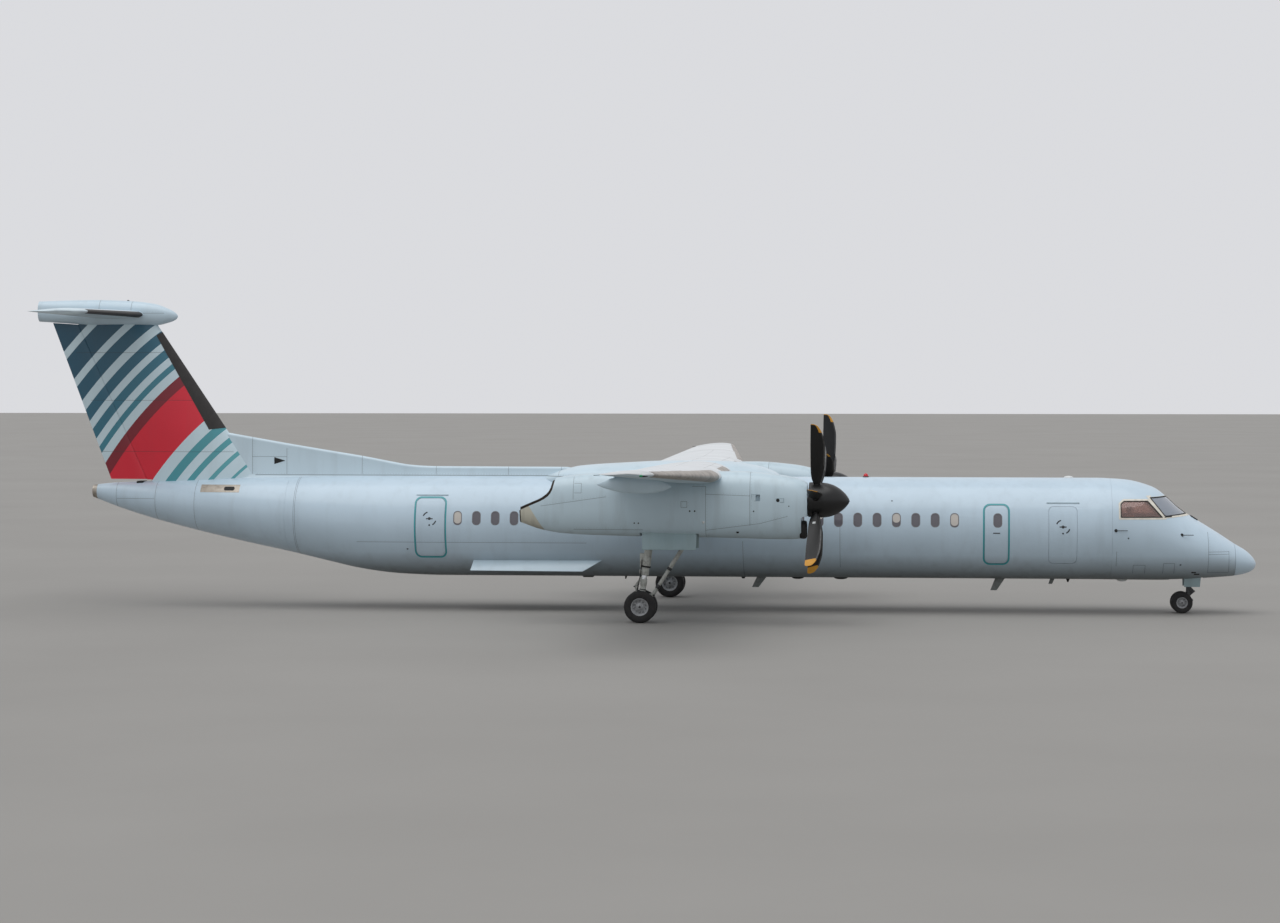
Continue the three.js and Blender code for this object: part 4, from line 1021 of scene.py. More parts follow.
def closedRing(row, camber, end):
    shares = denseShares(end, 16)
    upper = [sectionPoint(row, share, 1, camber) for share in shares]
    lower = [sectionPoint(row, share, -1, camber) for share in reversed(shares[1:])]
    return upper + lower


def rearRing(row, camber):
    shares = [section["boxEnd"] - 0.02, 0.78, 0.85, 0.92, section["trailing"]]
    upper = [sectionPoint(row, share, 1, camber) for share in shares]
    lower = [sectionPoint(row, share, -1, camber) for share in reversed(shares)]
    return upper + lower


# The moving rear: its nose is round about the hinge, so that it turns in place
def movingRing(row, camber):
    x, middle = sectionPoint(row, section["hinge"], 0, camber)
    radius = row[2] * row[4] * halfThick(section["hinge"])
    shares = [section["trailing"], 0.94, 0.88, 0.82, section["hinge"]]
    nose = [(x + radius * math.cos(a), middle + radius * math.sin(a))
            for a in (math.radians(d) for d in range(75, -76, -15))]
    upper = [sectionPoint(row, share, 1, camber) for share in shares]
    lower = [sectionPoint(row, share, -1, camber) for share in reversed(shares)]
    return upper + nose + lower


# A thin lip of the fixed surface that reaches back over the round nose of the moving one
def lipRing(row, camber, side):
    end = section["hinge"] - max(0.015, 0.025 / row[2])
    shares = [section["boxEnd"] - 0.02, section["boxEnd"], (section["boxEnd"] + end) / 2, end]
    outer = [sectionPoint(row, share, side, camber) for share in shares]
    inner = [sectionPoint(row, share, side, camber, -0.003) for share in reversed(shares)]
    return outer + inner


def lips(surface):
    return [surfaceSkin(surface, spread(start, end, 0.5), lipRing, side)
            for start, end in surface["lips"] for side in (1, -1)]


def bootRing(row, camber, reach, proud=0.003, sink=0.01):
    def line(offset):
        shares = denseShares(reach, 8)
        upper = [(share, 1) for share in reversed(shares)]
        lower = [(share, -1) for share in shares[1:]]
        points = []
        for share, side in upper + lower:
            x, up = sectionPoint(row, share, side, camber)
            round_ = 1 - share / reach
            points.append((x + offset * round_, up + (0 if share == 0 else side * offset)))
        return points
    return line(proud) + list(reversed(line(-sink)))


# A skin through the stations at some places, each drawn by ringOf; a fin's places go up instead of out
def surfaceSkin(surface, places, ringOf, *shape, tip=False):
    stations = [stationAt(surface["rows"], at) for at in places]
    if tip:
        stations += [tipStation(surface["rows"], surface["tip"], t)
                     for t in (0.3, 0.55, 0.75, 0.88, 0.96, 1.0)]
    rings = []
    for row in stations:
        points = ringOf(row, surface["camber"], *shape)
        rings.append([(x, up, row[0]) if surface["upright"] else (x, row[0], row[3] + up)
                      for x, up in points])
    return skin("surface", rings)


def trackFairing(at, start, end):
    row = stationAt(wing["rows"], at)
    shape = [(0.0, 0.06), (0.05, 0.34), (0.12, 0.62), (0.22, 0.86), (0.35, 1.0), (0.6, 0.95), (0.85, 0.55),
             (0.95, 0.25), (1.0, 0.04)]
    rings = []
    for share in spread(0, 1, 0.04):
        _, size = between(shape, share)
        x = row[1] - row[2] * (start + share * (end - start))
        middle = row[3] - 0.25 + 0.04 * share
        rings.append(ellipseRing(x, at, middle + 0.025 * size, 0.08 * size, 0.215 * size, 32))
    return skin("fairing", rings)


# Weathered white on the faces that look up or sideways, the fairing's pale blue enamel on the faces that look
# down
def wingColours(piece):
    return paintFaces(painted(piece, wingPaint), fairingPaint, lambda face: face.normal.z < -0.3)


def wingBox():
    half = surfaceSkin(wing, spread(0.0, 14.06, 0.5), closedRing, section["boxEnd"], tip=True)
    tip = surfaceSkin(wing, [14.02, 14.06], closedRing, section["trailing"], tip=True)
    rears = [surfaceSkin(wing, spread(start, end, 0.5), rearRing) for start, end in wing["rears"]]
    fairings = [painted(trackFairing(*row), fairingPaint) for row in wing["trackFairings"]]
    port = merged([wingColours(merged([half, tip] + rears + lips(wing)))] + fairings)
    return merged([port, mirrorCopy(port)])


handOver(wingBox(), "wing_skin", "root", "wing_paint", ["wing"])
for name, span in wing["flaps"].items():
    flap = surfaceSkin(wing, spread(*span, 0.4), movingRing)
    pairOver(wingColours(flap), f"flap_{name}_skin", "wing_paint", f"flap_{name}")
aileron = surfaceSkin(wing, spread(*wing["aileron"], 0.4), movingRing)
pairOver(wingColours(aileron), "aileron_skin", "wing_paint", "aileron", ("aileron_left", "aileron_right"))
for i, (start, end, reach) in enumerate(wing["boots"]):
    boot = surfaceSkin(wing, spread(start, end, 0.5), bootRing, reach)
    pairOver(painted(boot, wingBoot), f"wing_boot_{i + 1}", "wing_paint")
print("wing done")


# Wing fairing on the roof, and the dorsal fin with the spine that joins it
roofFairing = {
    "rows": [  # x, top, bottom, half width
        (-2.4, 3.58, 3.3, 0.42), (-2.0, 3.73, 3.22, 0.78), (-1.5, 3.85, 3.15, 0.98), (-0.4, 3.93, 3.05, 1.18),
        (1.0, 3.99, 3.05, 1.24), (2.4, 3.98, 3.05, 1.24), (3.3, 3.85, 3.15, 1.08), (3.75, 3.69, 3.25, 0.75),
        (3.9, 3.58, 3.3, 0.45),
    ],
    "sides": 72,
    "squareness": 2.6,
}
fairing = barrel(roofFairing["rows"], spread(-2.4, 3.9, 0.1), roofFairing["sides"], roofFairing["squareness"])
handOver(painted(fairing, fairingPaint), "wing_fairing_skin", replaced=["wing_fairing"])

dorsal = {
    "top": [
        (-11.5, 4.78), (-11.125, 4.713), (-10.53, 4.609), (-9.54, 4.437), (-8.374, 4.244), (-7.456, 4.096),
        (-6.6, 3.935), (-6.227, 3.87), (-5.8, 3.835), (-5.44, 3.824), (-3.7, 3.818), (-1.9, 3.815),
        (-1.5, 3.72),
    ],
    "foot": 3.4,
    "half": 0.075,
    "flare": 0.17,
}
dorsalRings = []
for x in spread(-11.5, -1.5, 0.12):
    _, top = between(dorsal["top"], x)
    half, foot = dorsal["half"], dorsal["foot"]
    side = [(half + dorsal["flare"], foot), (half + 0.06, foot + 0.13), (half + 0.015, foot + 0.24)]
    side += [(half * math.cos(a), top - half + half * math.sin(a))
             for a in (math.radians(d) for d in range(0, 91, 15))]
    dorsalRings.append([(x, y, z) for y, z in side] + [(x, -y, z) for y, z in reversed(side[:-1])])
handOver(skin("dorsal", dorsalRings, fairingPaint), "dorsal_fin_skin", replaced=["dorsal_fin"])


# Fin, rudder, tailplane, elevators and the bullet that joins them
finBox = surfaceSkin(fin, spread(3.15, 7.9, 0.25), closedRing, section["boxEnd"])
handOver(painted(merged([finBox] + lips(fin)), finPaint), "fin_skin", "root", "tail_paint", ["fin"])
rudder = surfaceSkin(fin, spread(*fin["rudder"], 0.25), movingRing)
crown = surfaceSkin(fin, [7.5, 7.6, 7.74], movingRing)
carve(rudder, carve(crown, prism(fin["crown"], -0.3, 0.3), "INTERSECT"), "UNION")
handOver(painted(rudder, finPaint), "rudder_skin", "rudder", "tail_paint", ["rudder"])
start, end, reach = fin["boot"]
boot = surfaceSkin(fin, spread(start, end, 0.25), bootRing, reach, 0.006)
carve(boot, prism(fin["bootEdge"], -0.4, 0.4), "INTERSECT")
handOver(painted(boot, bootRubber), "fin_deice_boot", "root", "blade_black")
half = surfaceSkin(tailplane, spread(0, 4.54, 0.4), closedRing, section["boxEnd"], tip=True)
tip = surfaceSkin(tailplane, [4.515, 4.54], closedRing, section["trailing"], tip=True)
port = merged([half, tip] + lips(tailplane))
handOver(painted(merged([port, mirrorCopy(port)]), tailplanePaint), "tailplane_skin", "root", "tail_paint",
         ["tailplane"])
elevator = surfaceSkin(tailplane, spread(*tailplane["elevator"], 0.4), movingRing)
pairOver(painted(elevator, tailplanePaint), "elevator_skin", "tail_paint", "elevator",
         ("elevator_left", "elevator_right"))
start, end, reach = tailplane["boot"]
boot = surfaceSkin(tailplane, spread(start, end, 0.4), bootRing, reach, 0.004)
pairOver(painted(boot, bootRubber), "tailplane_deice_boot", "blade_black")

bullet = {
    "rows": [  # x, top, bottom, half width
        (-16.42, 8.306, 7.75, 0.215), (-15.6, 8.33, 7.70, 0.29), (-14.9, 8.34, 7.64, 0.31),
        (-13.87, 8.31, 7.63, 0.31), (-13.2, 8.23, 7.64, 0.265), (-12.81, 8.09, 7.72, 0.17),
        (-12.62, 7.98, 7.80, 0.08), (-12.57, 7.92, 7.86, 0.025),
    ],
    "sides": 64,
    "squareness": 2.2,
}
places = spread(-16.42, -13.2, 0.16) + closingPlaces(-13.2, -12.57, 12)
cap = barrel(bullet["rows"], places, bullet["sides"], bullet["squareness"])
handOver(painted(cap, bulletPaint), "tail_bullet_skin", "root", "tail_paint", ["tail_bullet"])
print("tail done")


# Nacelles: a squarish barrel with an S-shaped cut for the exhaust, a chin intake and the gear bay
nacelle = {
    "y": 4.395,
    "sides": 80,
    "rows": [  # x, top, bottom, half width, squareness
        (-2.53, 3.17, 2.535, 0.21, 2.2), (-1.98, 3.5, 2.35, 0.36, 2.3), (-1.4, 3.71, 2.255, 0.45, 2.4),
        (-0.6, 3.78, 2.215, 0.54, 2.6), (0.6, 3.81, 2.19, 0.6, 2.8), (3.0, 3.85, 2.16, 0.61, 2.8),
        (4.04, 3.77, 2.13, 0.58, 2.6), (4.52, 3.68, 2.14, 0.53, 2.4), (4.70, 3.61, 2.175, 0.48, 2.25),
        (4.78, 3.56, 2.215, 0.44, 2.2),
    ],
    "exhaust": [
        (-1.54, 3.95), (-1.62, 3.64), (-1.645, 3.49), (-1.672, 3.377), (-1.723, 3.276), (-1.787, 3.206),
        (-1.884, 3.135), (-2.0, 3.074), (-2.273, 2.959), (-2.494, 2.861), (-3.0, 2.63), (-3.0, 3.95),
    ],
    "rearSeam": ((-2.08, 2.635), (0.848, 0.53)),  # a place on the slanted seam, and the way across it
    "rearEdge": -2.5,
    "duct": ((-2.6, 3.24), (-0.9, 3.33), 0.3, 0.24),
    "liner": (0.03, 0.035, -0.05, 0.05),  # inside the skin, wall, how far it shows behind and above the edge
    "intake": (4.3, 4.95, 0.27, 2.23, 2.53),
    "notch": [(4.63, 1.9), (4.95, 1.9), (4.95, 2.72), (4.67, 2.72), (4.63, 2.68)],
    "lip": (4.695, 2.375, 0.35, 0.225),  # middle of the rubber lip, its half width and half height
    "lipSection": [(-0.1, -0.01), (-0.06, 0.0), (0.0, 0.005), (0.045, -0.005), (0.066, -0.03), (0.06, -0.055),
                   (0.0, -0.07), (-0.1, -0.075)],
    "bay": (0.56, 2.05, 0.4, 1.5, 2.95),
    "scoop": (3.51, 3.61, 3.12, 3.28),
    "plates": [(3.39, 3.51, 3.11, 3.29), (4.0, 4.21, 3.08, 3.19)],  # x1, x2, z1, z2
    "dots": [(4.055, 3.137, 0.045), (3.041, 2.333, 0.036), (0.437, 2.547, 0.018), (0.542, 2.547, 0.018),
             (1.842, 2.858, 0.022), (1.967, 2.858, 0.022), (3.45, 2.86, 0.018), (4.33, 2.99, 0.014)],
    "knob": (2.185, 2.577, 0.036),
}


def nacelleSkin(places, inset=0.0):
    return barrel(nacelle["rows"], places, nacelle["sides"], grow=-inset, y=nacelle["y"])


# The hot duct's end stands a little behind the cowl's edge and shows as a dark line along it
def exhaustLiner():
    y = nacelle["y"]
    inset, wall, back, up = nacelle["liner"]
    liner = nacelleSkin(spread(-2.51, -1.0, 0.1), inset)
    carve(liner, nacelleSkin(spread(-2.7, -1.1, 0.1), inset + wall))
    edge = [(x + back, z + up) for x, z in nacelle["exhaust"]]
    return painted(carve(liner, prism(edge, y - 0.9, y + 0.9, 0.012, 3)), darkSteel)


# A rounded rubber lip round the chin intake
def intakeLip():
    middle, z, half, tall = nacelle["lip"]
    rings = [ellipseRing(middle + along, nacelle["y"], z, half + grow, tall + grow, 64, 3.2)
             for along, grow in nacelle["lipSection"] + nacelle["lipSection"][:1]]
    return skin("lip", rings, blackSealAndShade)


# The outer side of the nacelle at a place
def cowlSide(x, z):
    _, top, bottom, half, power = between(nacelle["rows"], x)
    rise = abs(z - (top + bottom) / 2) / ((top - bottom) / 2)
    return nacelle["y"] + half * max(0.0, 1 - rise**power) ** (1 / power)


# Small fittings on the outer side: framed plates, holes drawn as black discs of painted shade, and a pale
# knob
def cowlFittings():
    pieces = []
    for x1, x2, z1, z2 in nacelle["plates"]:
        y = cowlSide((x1 + x2) / 2, (z1 + z2) / 2)
        pieces.append(block(x1, x2, y - 0.02, y + 0.003, z1, z2, 0.003, frameGrey))
        pieces.append(block(x1 + 0.012, x2 - 0.012, y - 0.02, y + 0.005, z1 + 0.012, z2 - 0.012, 0.002,
                            nacellePaint))
    for x, z, radius in nacelle["dots"]:
        y = cowlSide(x, z)
        pieces.append(tube((x, y - 0.02, z), (x, y + 0.007, z), radius, blackSealAndShade))
    x, z, radius = nacelle["knob"]
    pieces.append(ball((x, cowlSide(x, z), z), (radius, radius, radius), whitePlastic, 16))
    return pieces


def nacelleShell():
    y = nacelle["y"]
    places = [-2.53, nacelle["rearEdge"]] + spread(-2.4, 4.6, 0.1) + [4.65, 4.7, 4.74, 4.765, 4.78]
    shell = painted(nacelleSkin(places), nacellePaint)
    (seamX, seamZ), (acrossX, acrossZ) = nacelle["rearSeam"]
    editAll(shell)
    bpy.ops.mesh.bisect(plane_co=(seamX, y, seamZ), plane_no=(acrossX, 0, acrossZ))
    clearSelection()
    paintFaces(shell, bakedPaint,
               lambda face: (face.center.x - seamX) * acrossX + (face.center.z - seamZ) * acrossZ < 0)
    paintFaces(shell, darkSteel, lambda face: face.center.x < nacelle["rearEdge"])
    carve(shell, prism(nacelle["exhaust"], y - 0.9, y + 0.9, 0.012, 3, darkSteel))
    carve(shell, painted(nacelleSkin(spread(-2.7, -1.1, 0.1), nacelle["liner"][0]), darkSteel))
    carve(shell, prism(nacelle["notch"], y - 0.9, y + 0.9, 0.02, finish=nacellePaint))
    start, end, wide, narrow = nacelle["duct"]
    carve(shell, tube((start[0], y, start[1]), (end[0], y, end[1]), wide, darkSteel, narrow, bevel=0))
    # The chin intake's pocket is painted black: painted shade inside the intake
    x1, x2, half, z1, z2 = nacelle["intake"]
    carve(shell, block(x1, x2, y - half, y + half, z1, z2, 0.08, blackSealAndShade))
    x1, x2, half, z1, z2 = nacelle["bay"]
    carve(shell, block(x1, x2, y - half, y + half, z1, z2, finish=gearEnamel))
    # The scoop's opening is painted black: painted shade inside it
    x1, x2, z1, z2 = nacelle["scoop"]
    carve(shell, block(x1, x2, y + 0.5, y + 0.7, z1, z2, 0.015, blackSealAndShade))
    return merged([shell, exhaustLiner(), intakeLip()] + cowlFittings())


pairOver(nacelleShell(), "nacelle_shell", "nacelle_paint", "nacelle", weighted=True)
print("nacelles done")


# Propellers: six feathered blades in a black spinner, the thrust line two degrees nose down
propeller = {
    "x": 5.0, "y": 4.395, "z": 3.13, "tilt": 2.0,
    "start": {"left": 0.0, "right": 21.0},
    "blades": 6,
    "rows": [  # radius, chord, thickness, sweep, twist
        (0.4, 0.112, 0.1, 0.0, 14.0), (0.6, 0.27, 0.072, 0.0, 10.0), (0.95, 0.355, 0.048, 0.012, 5.0),
        (1.45, 0.368, 0.03, 0.004, -1.0), (1.8, 0.3, 0.02, -0.035, -5.0), (1.98, 0.205, 0.014, -0.085, -6.0),
        (2.03, 0.15, 0.011, -0.112, -6.5), (2.055, 0.07, 0.006, -0.14, -7.0),
    ],
    "hub": (-0.185, 0.19, 0.2),
    "root": (0.12, 0.43, 0.062),
    "cuff": (0.36, 0.445, 0.008, 0.001),  # from, to, and how far it stands out at each end
    "spinner": (-0.195, 0.15, 0.845, 0.44),  # back, shoulder, tip, radius
    "rootHole": 0.082,
    "ochreFrom": 1.83,
    "ochreSlope": 0.33,
    "sheathOchreFrom": 1.87,
    "tipOchreFrom": 2.03,
    "nickelFrom": 0.95,
    "nickelShare": 0.4, "sheathShare": 0.2,  # in front of the middle, in chords
    "patch": (0.72, 0.78, -0.08, 0.0),  # a plain white label: radius and place across the blade
}


def oneBlade():
    rings = []
    for radius in spread(0.4, 1.9, 0.06) + [1.94, 1.98, 2.01, 2.035, 2.048, 2.055]:
        _, chord, thick, sweep, twist = between(propeller["rows"], radius)
        turn = math.radians(twist)
        shares = denseShares(1.0, 12)
        outline = [(share, 1) for share in shares] + [(share, -1) for share in reversed(shares[1:-1])]
        ring = []
        for share, side in outline:
            x, y = (0.5 - share) * chord, side * max(thick * halfThick(share), 0.0008)
            ring.append((x * math.cos(turn) - y * math.sin(turn) + sweep,
                         x * math.sin(turn) + y * math.cos(turn), radius))
        rings.append(ring)
    blade = skin("blade", rings, bladeCoating)
    edge, slope = propeller["ochreFrom"], propeller["ochreSlope"]
    editAll(blade)
    bpy.ops.mesh.bisect(plane_co=(0, 0, edge), plane_no=(slope, 0, 1))
    clearSelection()

    def ahead(face, start, share):
        row = between(propeller["rows"], face.center.z)
        return face.center.z > start and face.center.x - row[3] > share * row[1]

    def isOchreBack(face):
        return face.normal.y > 0.2 and face.center.z + slope * face.center.x > edge

    def isNickel(face):
        return ahead(face, propeller["nickelFrom"], propeller["nickelShare"])

    def isTip(face):
        return (ahead(face, propeller["sheathOchreFrom"], propeller["sheathShare"])
                or face.center.z > propeller["tipOchreFrom"])

    def isPatch(face):
        low, high, rear, front = propeller["patch"]
        return face.normal.y > 0.2 and low < face.center.z < high and rear < face.center.x < front

    paintFaces(blade, bladeOchre, isOchreBack)
    paintFaces(blade, bladeNickel, isNickel)
    paintFaces(blade, bladeOchre, isTip)
    paintFaces(blade, whitePlastic, isPatch)
    low, high, radius = propeller["root"]
    root = tube((0, 0, low), (0, 0, high), radius, bladeCoating)
    low, high, wide, narrow = propeller["cuff"]
    cuff = tube((0, 0, low), (0, 0, high), radius + wide, blackSealAndShade, radius + narrow)
    return merged([blade, root, cuff])


def hubPlace(side, angle):
    y = propeller["y"] if side == "left" else -propeller["y"]
    return (Matrix.Translation((propeller["x"], y, propeller["z"]))
            @ Matrix.Rotation(math.radians(propeller["tilt"]), 4, "Y")
            @ Matrix.Rotation(math.radians(propeller["start"][side] + angle), 4, "X"))


def spinnerShell():
    back, shoulder, front, wide = propeller["spinner"]
    outer = [(wide * (1 - (i / 30) ** 2) ** 0.75, shoulder + (front - shoulder) * i / 30) for i in range(30)]
    profile = [(0, back), (wide - 0.02, back), (wide, back + 0.012)] + outer + [(0, front)]
    shell = lathe(profile, (0, 0, 0), (1, 0, 0), 72, spinnerPaint)
    # The holes round the blade roots are cut with black walls: painted shade in the gap round each root
    for k in range(propeller["blades"]):
        hole = tube((0, 0, 0.22), (0, 0, 0.6), propeller["rootHole"], bevel=0)
        carve(shell, painted(moved(hole, Matrix.Rotation(math.tau * k / propeller["blades"], 4, "X")),
                             blackSealAndShade))
    return shell


blade = oneBlade()
shell = spinnerShell()
for side in ("left", "right"):
    low, high, radius = propeller["hub"]
    hub = moved(tube((low, 0, 0), (high, 0, 0), radius, darkSteel), hubPlace(side, 0))
    blades = [moved(copyOf(blade), hubPlace(side, 60 * k)) for k in range(propeller["blades"])]
    handOver(merged([hub] + blades), f"propeller_blades_{side}", f"propeller_{side}", "blade_black",
             [f"propeller_{side}"])
    handOver(moved(copyOf(shell), hubPlace(side, 0)), f"spinner_shell_{side}", f"propeller_{side}",
             "spinner_black", [f"spinner_{side}"])
drop(blade, shell)
print("propellers done")


# Landing gear: pieces are made about the leg's own middle plane and then moved out to each side

# A flat plate between corners in space, its edges softened
def slab(corners, thick, finish, bevel=0.003):
    clearSelection()
    bpy.ops.mesh.primitive_circle_add(vertices=len(corners), fill_type="NGON")
    piece = bpy.context.object
    for vertex, corner in zip(piece.data.vertices, corners):
        vertex.co = corner
    piece.data.update()
    aside = piece.data.polygons[0].normal.copy() * thick
    for vertex in piece.data.vertices:
        vertex.co -= aside / 2
    editAll(piece)
    bpy.ops.mesh.extrude_region_move(TRANSFORM_OT_translate={"value": aside})
    bpy.ops.mesh.select_all(action="SELECT")
    bpy.ops.mesh.normals_make_consistent(inside=False)
    clearSelection()
    return painted(modify(piece, "BEVEL", width=bevel, segments=2), finish)


# A hose or pipe: round sections carried along a smooth line through the given points
def hose(points, radius, finish, sides=12):
    line = [Vector(point) for point in points]
    line = [2 * line[0] - line[1]] + line + [2 * line[-1] - line[-2]]
    places = []
    for i in range(1, len(line) - 2):
        a, b, c, d = line[i - 1:i + 3]
        for t in (0, 0.2, 0.4, 0.6, 0.8):
            places.append(0.5 * (2 * b + (c - a) * t + (2 * a - 5 * b + 4 * c - d) * t**2
                                 + (3 * b - a - 3 * c + d) * t**3))
    places.append(line[-2])
    rings = []
    for i, place in enumerate(places):
        ahead = places[min(i + 1, len(places) - 1)] - places[max(i - 1, 0)]
        turn = ahead.to_track_quat("Z", "Y")
        rings.append([place + turn @ Vector((radius * math.cos(a), radius * math.sin(a), 0))
                      for a in (math.tau * j / sides for j in range(sides))])
    return skin("hose", rings, finish)


def linkPlates(outline, half, thick, finish):
    plates = []
    for side in (1, -1):
        y1, y2 = side * half, side * (half - thick)
        plates.append(prism(outline, min(y1, y2), max(y1, y2), 0.012, 3, finish))
    return plates


mainGear = {
    "y": 4.395, "axle": (0.549, 0.4065), "axleRadius": 0.045, "offset": 0.225,
    "bearing": (0.0462, 0.078, 0.082, 0.09, 0.108),  # bore, end and widest radius, shoulder and half length
    "radius": 0.4065, "half": 0.11, "rim": 0.215,
    "grooves": (-0.5, -0.17, 0.17, 0.5),
    "door": {"x": (0.62, 2.0), "y": 0.3997, "flare": 0.075, "z": (2.34, 2.255, 1.87), "thick": 0.022},
    "upperLink": [(0.61, 1.24), (0.385, 0.93), (0.43, 0.89), (0.64, 1.16)],
    "lowerLink": [(0.385, 0.93), (0.5, 0.52), (0.57, 0.56), (0.43, 0.89)],
}
noseGear = {
    "axle": (14.489, 0.2795), "axleRadius": 0.032, "offset": 0.195,
    "bearing": (0.0335, 0.056, 0.061, 0.09, 0.107),
    "radius": 0.2795, "half": 0.0825, "rim": 0.14,
    "grooves": (-0.4, 0.0, 0.4),
    "door": {"x": (14.53, 14.98), "y": 0.2487, "z": (1.0, 0.7), "thick": 0.02},
    "link": [(14.69, 0.735), (14.81, 0.61), (14.84, 0.56), (14.7, 0.44), (14.69, 0.5)],
}


# Tyre: bead, bulging side, rounded shoulder and a tread with square grooves
def tyre(gear, y):
    rim, radius, half = gear["rim"], gear["radius"], gear["half"]
    tall = radius - rim
    side = [(0.0, 0.76), (0.06, 0.86), (0.2, 0.95), (0.4, 0.995), (0.55, 1.0), (0.72, 0.965), (0.85, 0.89),
            (0.93, 0.8), (0.975, 0.7)]
    right = [(rim + tall * up, half * out) for up, out in side]
    left = [(r, -along) for r, along in reversed(right)]
    tread = []
    for share in reversed(gear["grooves"]):
        middle, deep = half * share, 0.007
        outer = radius * (1 - 0.012 * share * share)
        tread += [(outer, middle + 0.005), (outer - deep, middle + 0.0045), (outer - deep, middle - 0.0045),
                  (outer, middle - 0.005)]
    x, z = gear["axle"]
    return lathe(right + tread + left, (x, y, z), (0, 1, 0), 96, tyreRubber)


# Wheel: flanged rim, dished web with ten oval openings drawn as shallow pockets with black walls of painted
# shade, hub cap, and a ring of bolts
def wheel(gear, y, outward):
    x, z = gear["axle"]
    k, wide = gear["rim"] / mainGear["rim"], gear["half"] / mainGear["half"]
    shape = [(0, 0.098), (0.05, 0.098), (0.058, 0.09), (0.062, 0.05), (0.095, 0.036), (0.178, 0.036),
             (0.196, 0.05), (0.201, 0.086), (0.218, 0.094), (0.232, 0.092), (0.234, 0.084), (0.214, 0.08),
             (0.214, -0.08), (0.234, -0.084), (0.232, -0.092), (0.218, -0.094), (0.203, -0.086), (0.2, 0.0),
             (0.19, 0.008), (0.09, 0.004), (0.07, -0.004), (0.07, -0.06), (0, -0.06)]
    body = lathe([(r * k, a * wide) for r, a in shape], (x, y, z), (0, outward, 0), 80, wheelAlloy)
    # The openings are shallow pockets whose black walls are painted shade
    holes = []
    for i in range(10):
        turn = Matrix.Translation((x, y, z)) @ Matrix.Rotation(math.tau * i / 10, 4, "Y")
        hole = block(-0.032 * k, 0.032 * k, -0.03, 0.03, 0.1 * k, 0.172 * k, 0.024 * k)
        holes.append(moved(hole, turn @ Matrix.Translation((0, outward * (0.036 * wide + 0.006), 0))))
    carve(body, painted(merged(holes), blackSealAndShade))
    bolts = []
    for i in range(10):
        angle = math.tau * (i + 0.5) / 10
        bx, bz = x + 0.152 * k * math.cos(angle), z + 0.152 * k * math.sin(angle)
        bolts.append(tube((bx, y + outward * 0.03 * wide, bz), (bx, y + outward * 0.046 * wide, bz),
                          0.009 * k, brakeSteel, sides=8, bevel=0))
    cap = tube((x, y + outward * 0.09 * wide, z), (x, y + outward * 0.104 * wide, z), 0.03 * k, brakeSteel)
    return merged([body, cap] + bolts)


def wheelPair(gear, y):
    x, z = gear["axle"]
    reach = gear["offset"]
    axle = tube((x, y - reach, z), (x, y + reach, z), gear["axleRadius"], brakeSteel)
    return merged([axle, wheel(gear, y + reach, 1), wheel(gear, y - reach, -1)])


def bearing(gear):
    x, z = gear["axle"]
    bore, end, wide, shoulder, half = gear["bearing"]
    right = [(wide, shoulder), (end, half), (bore, half)]
    profile = [(radius, -along) for radius, along in reversed(right)] + right
    return lathe(profile, (x, 0, z), (0, 1, 0), 48, gearEnamel)


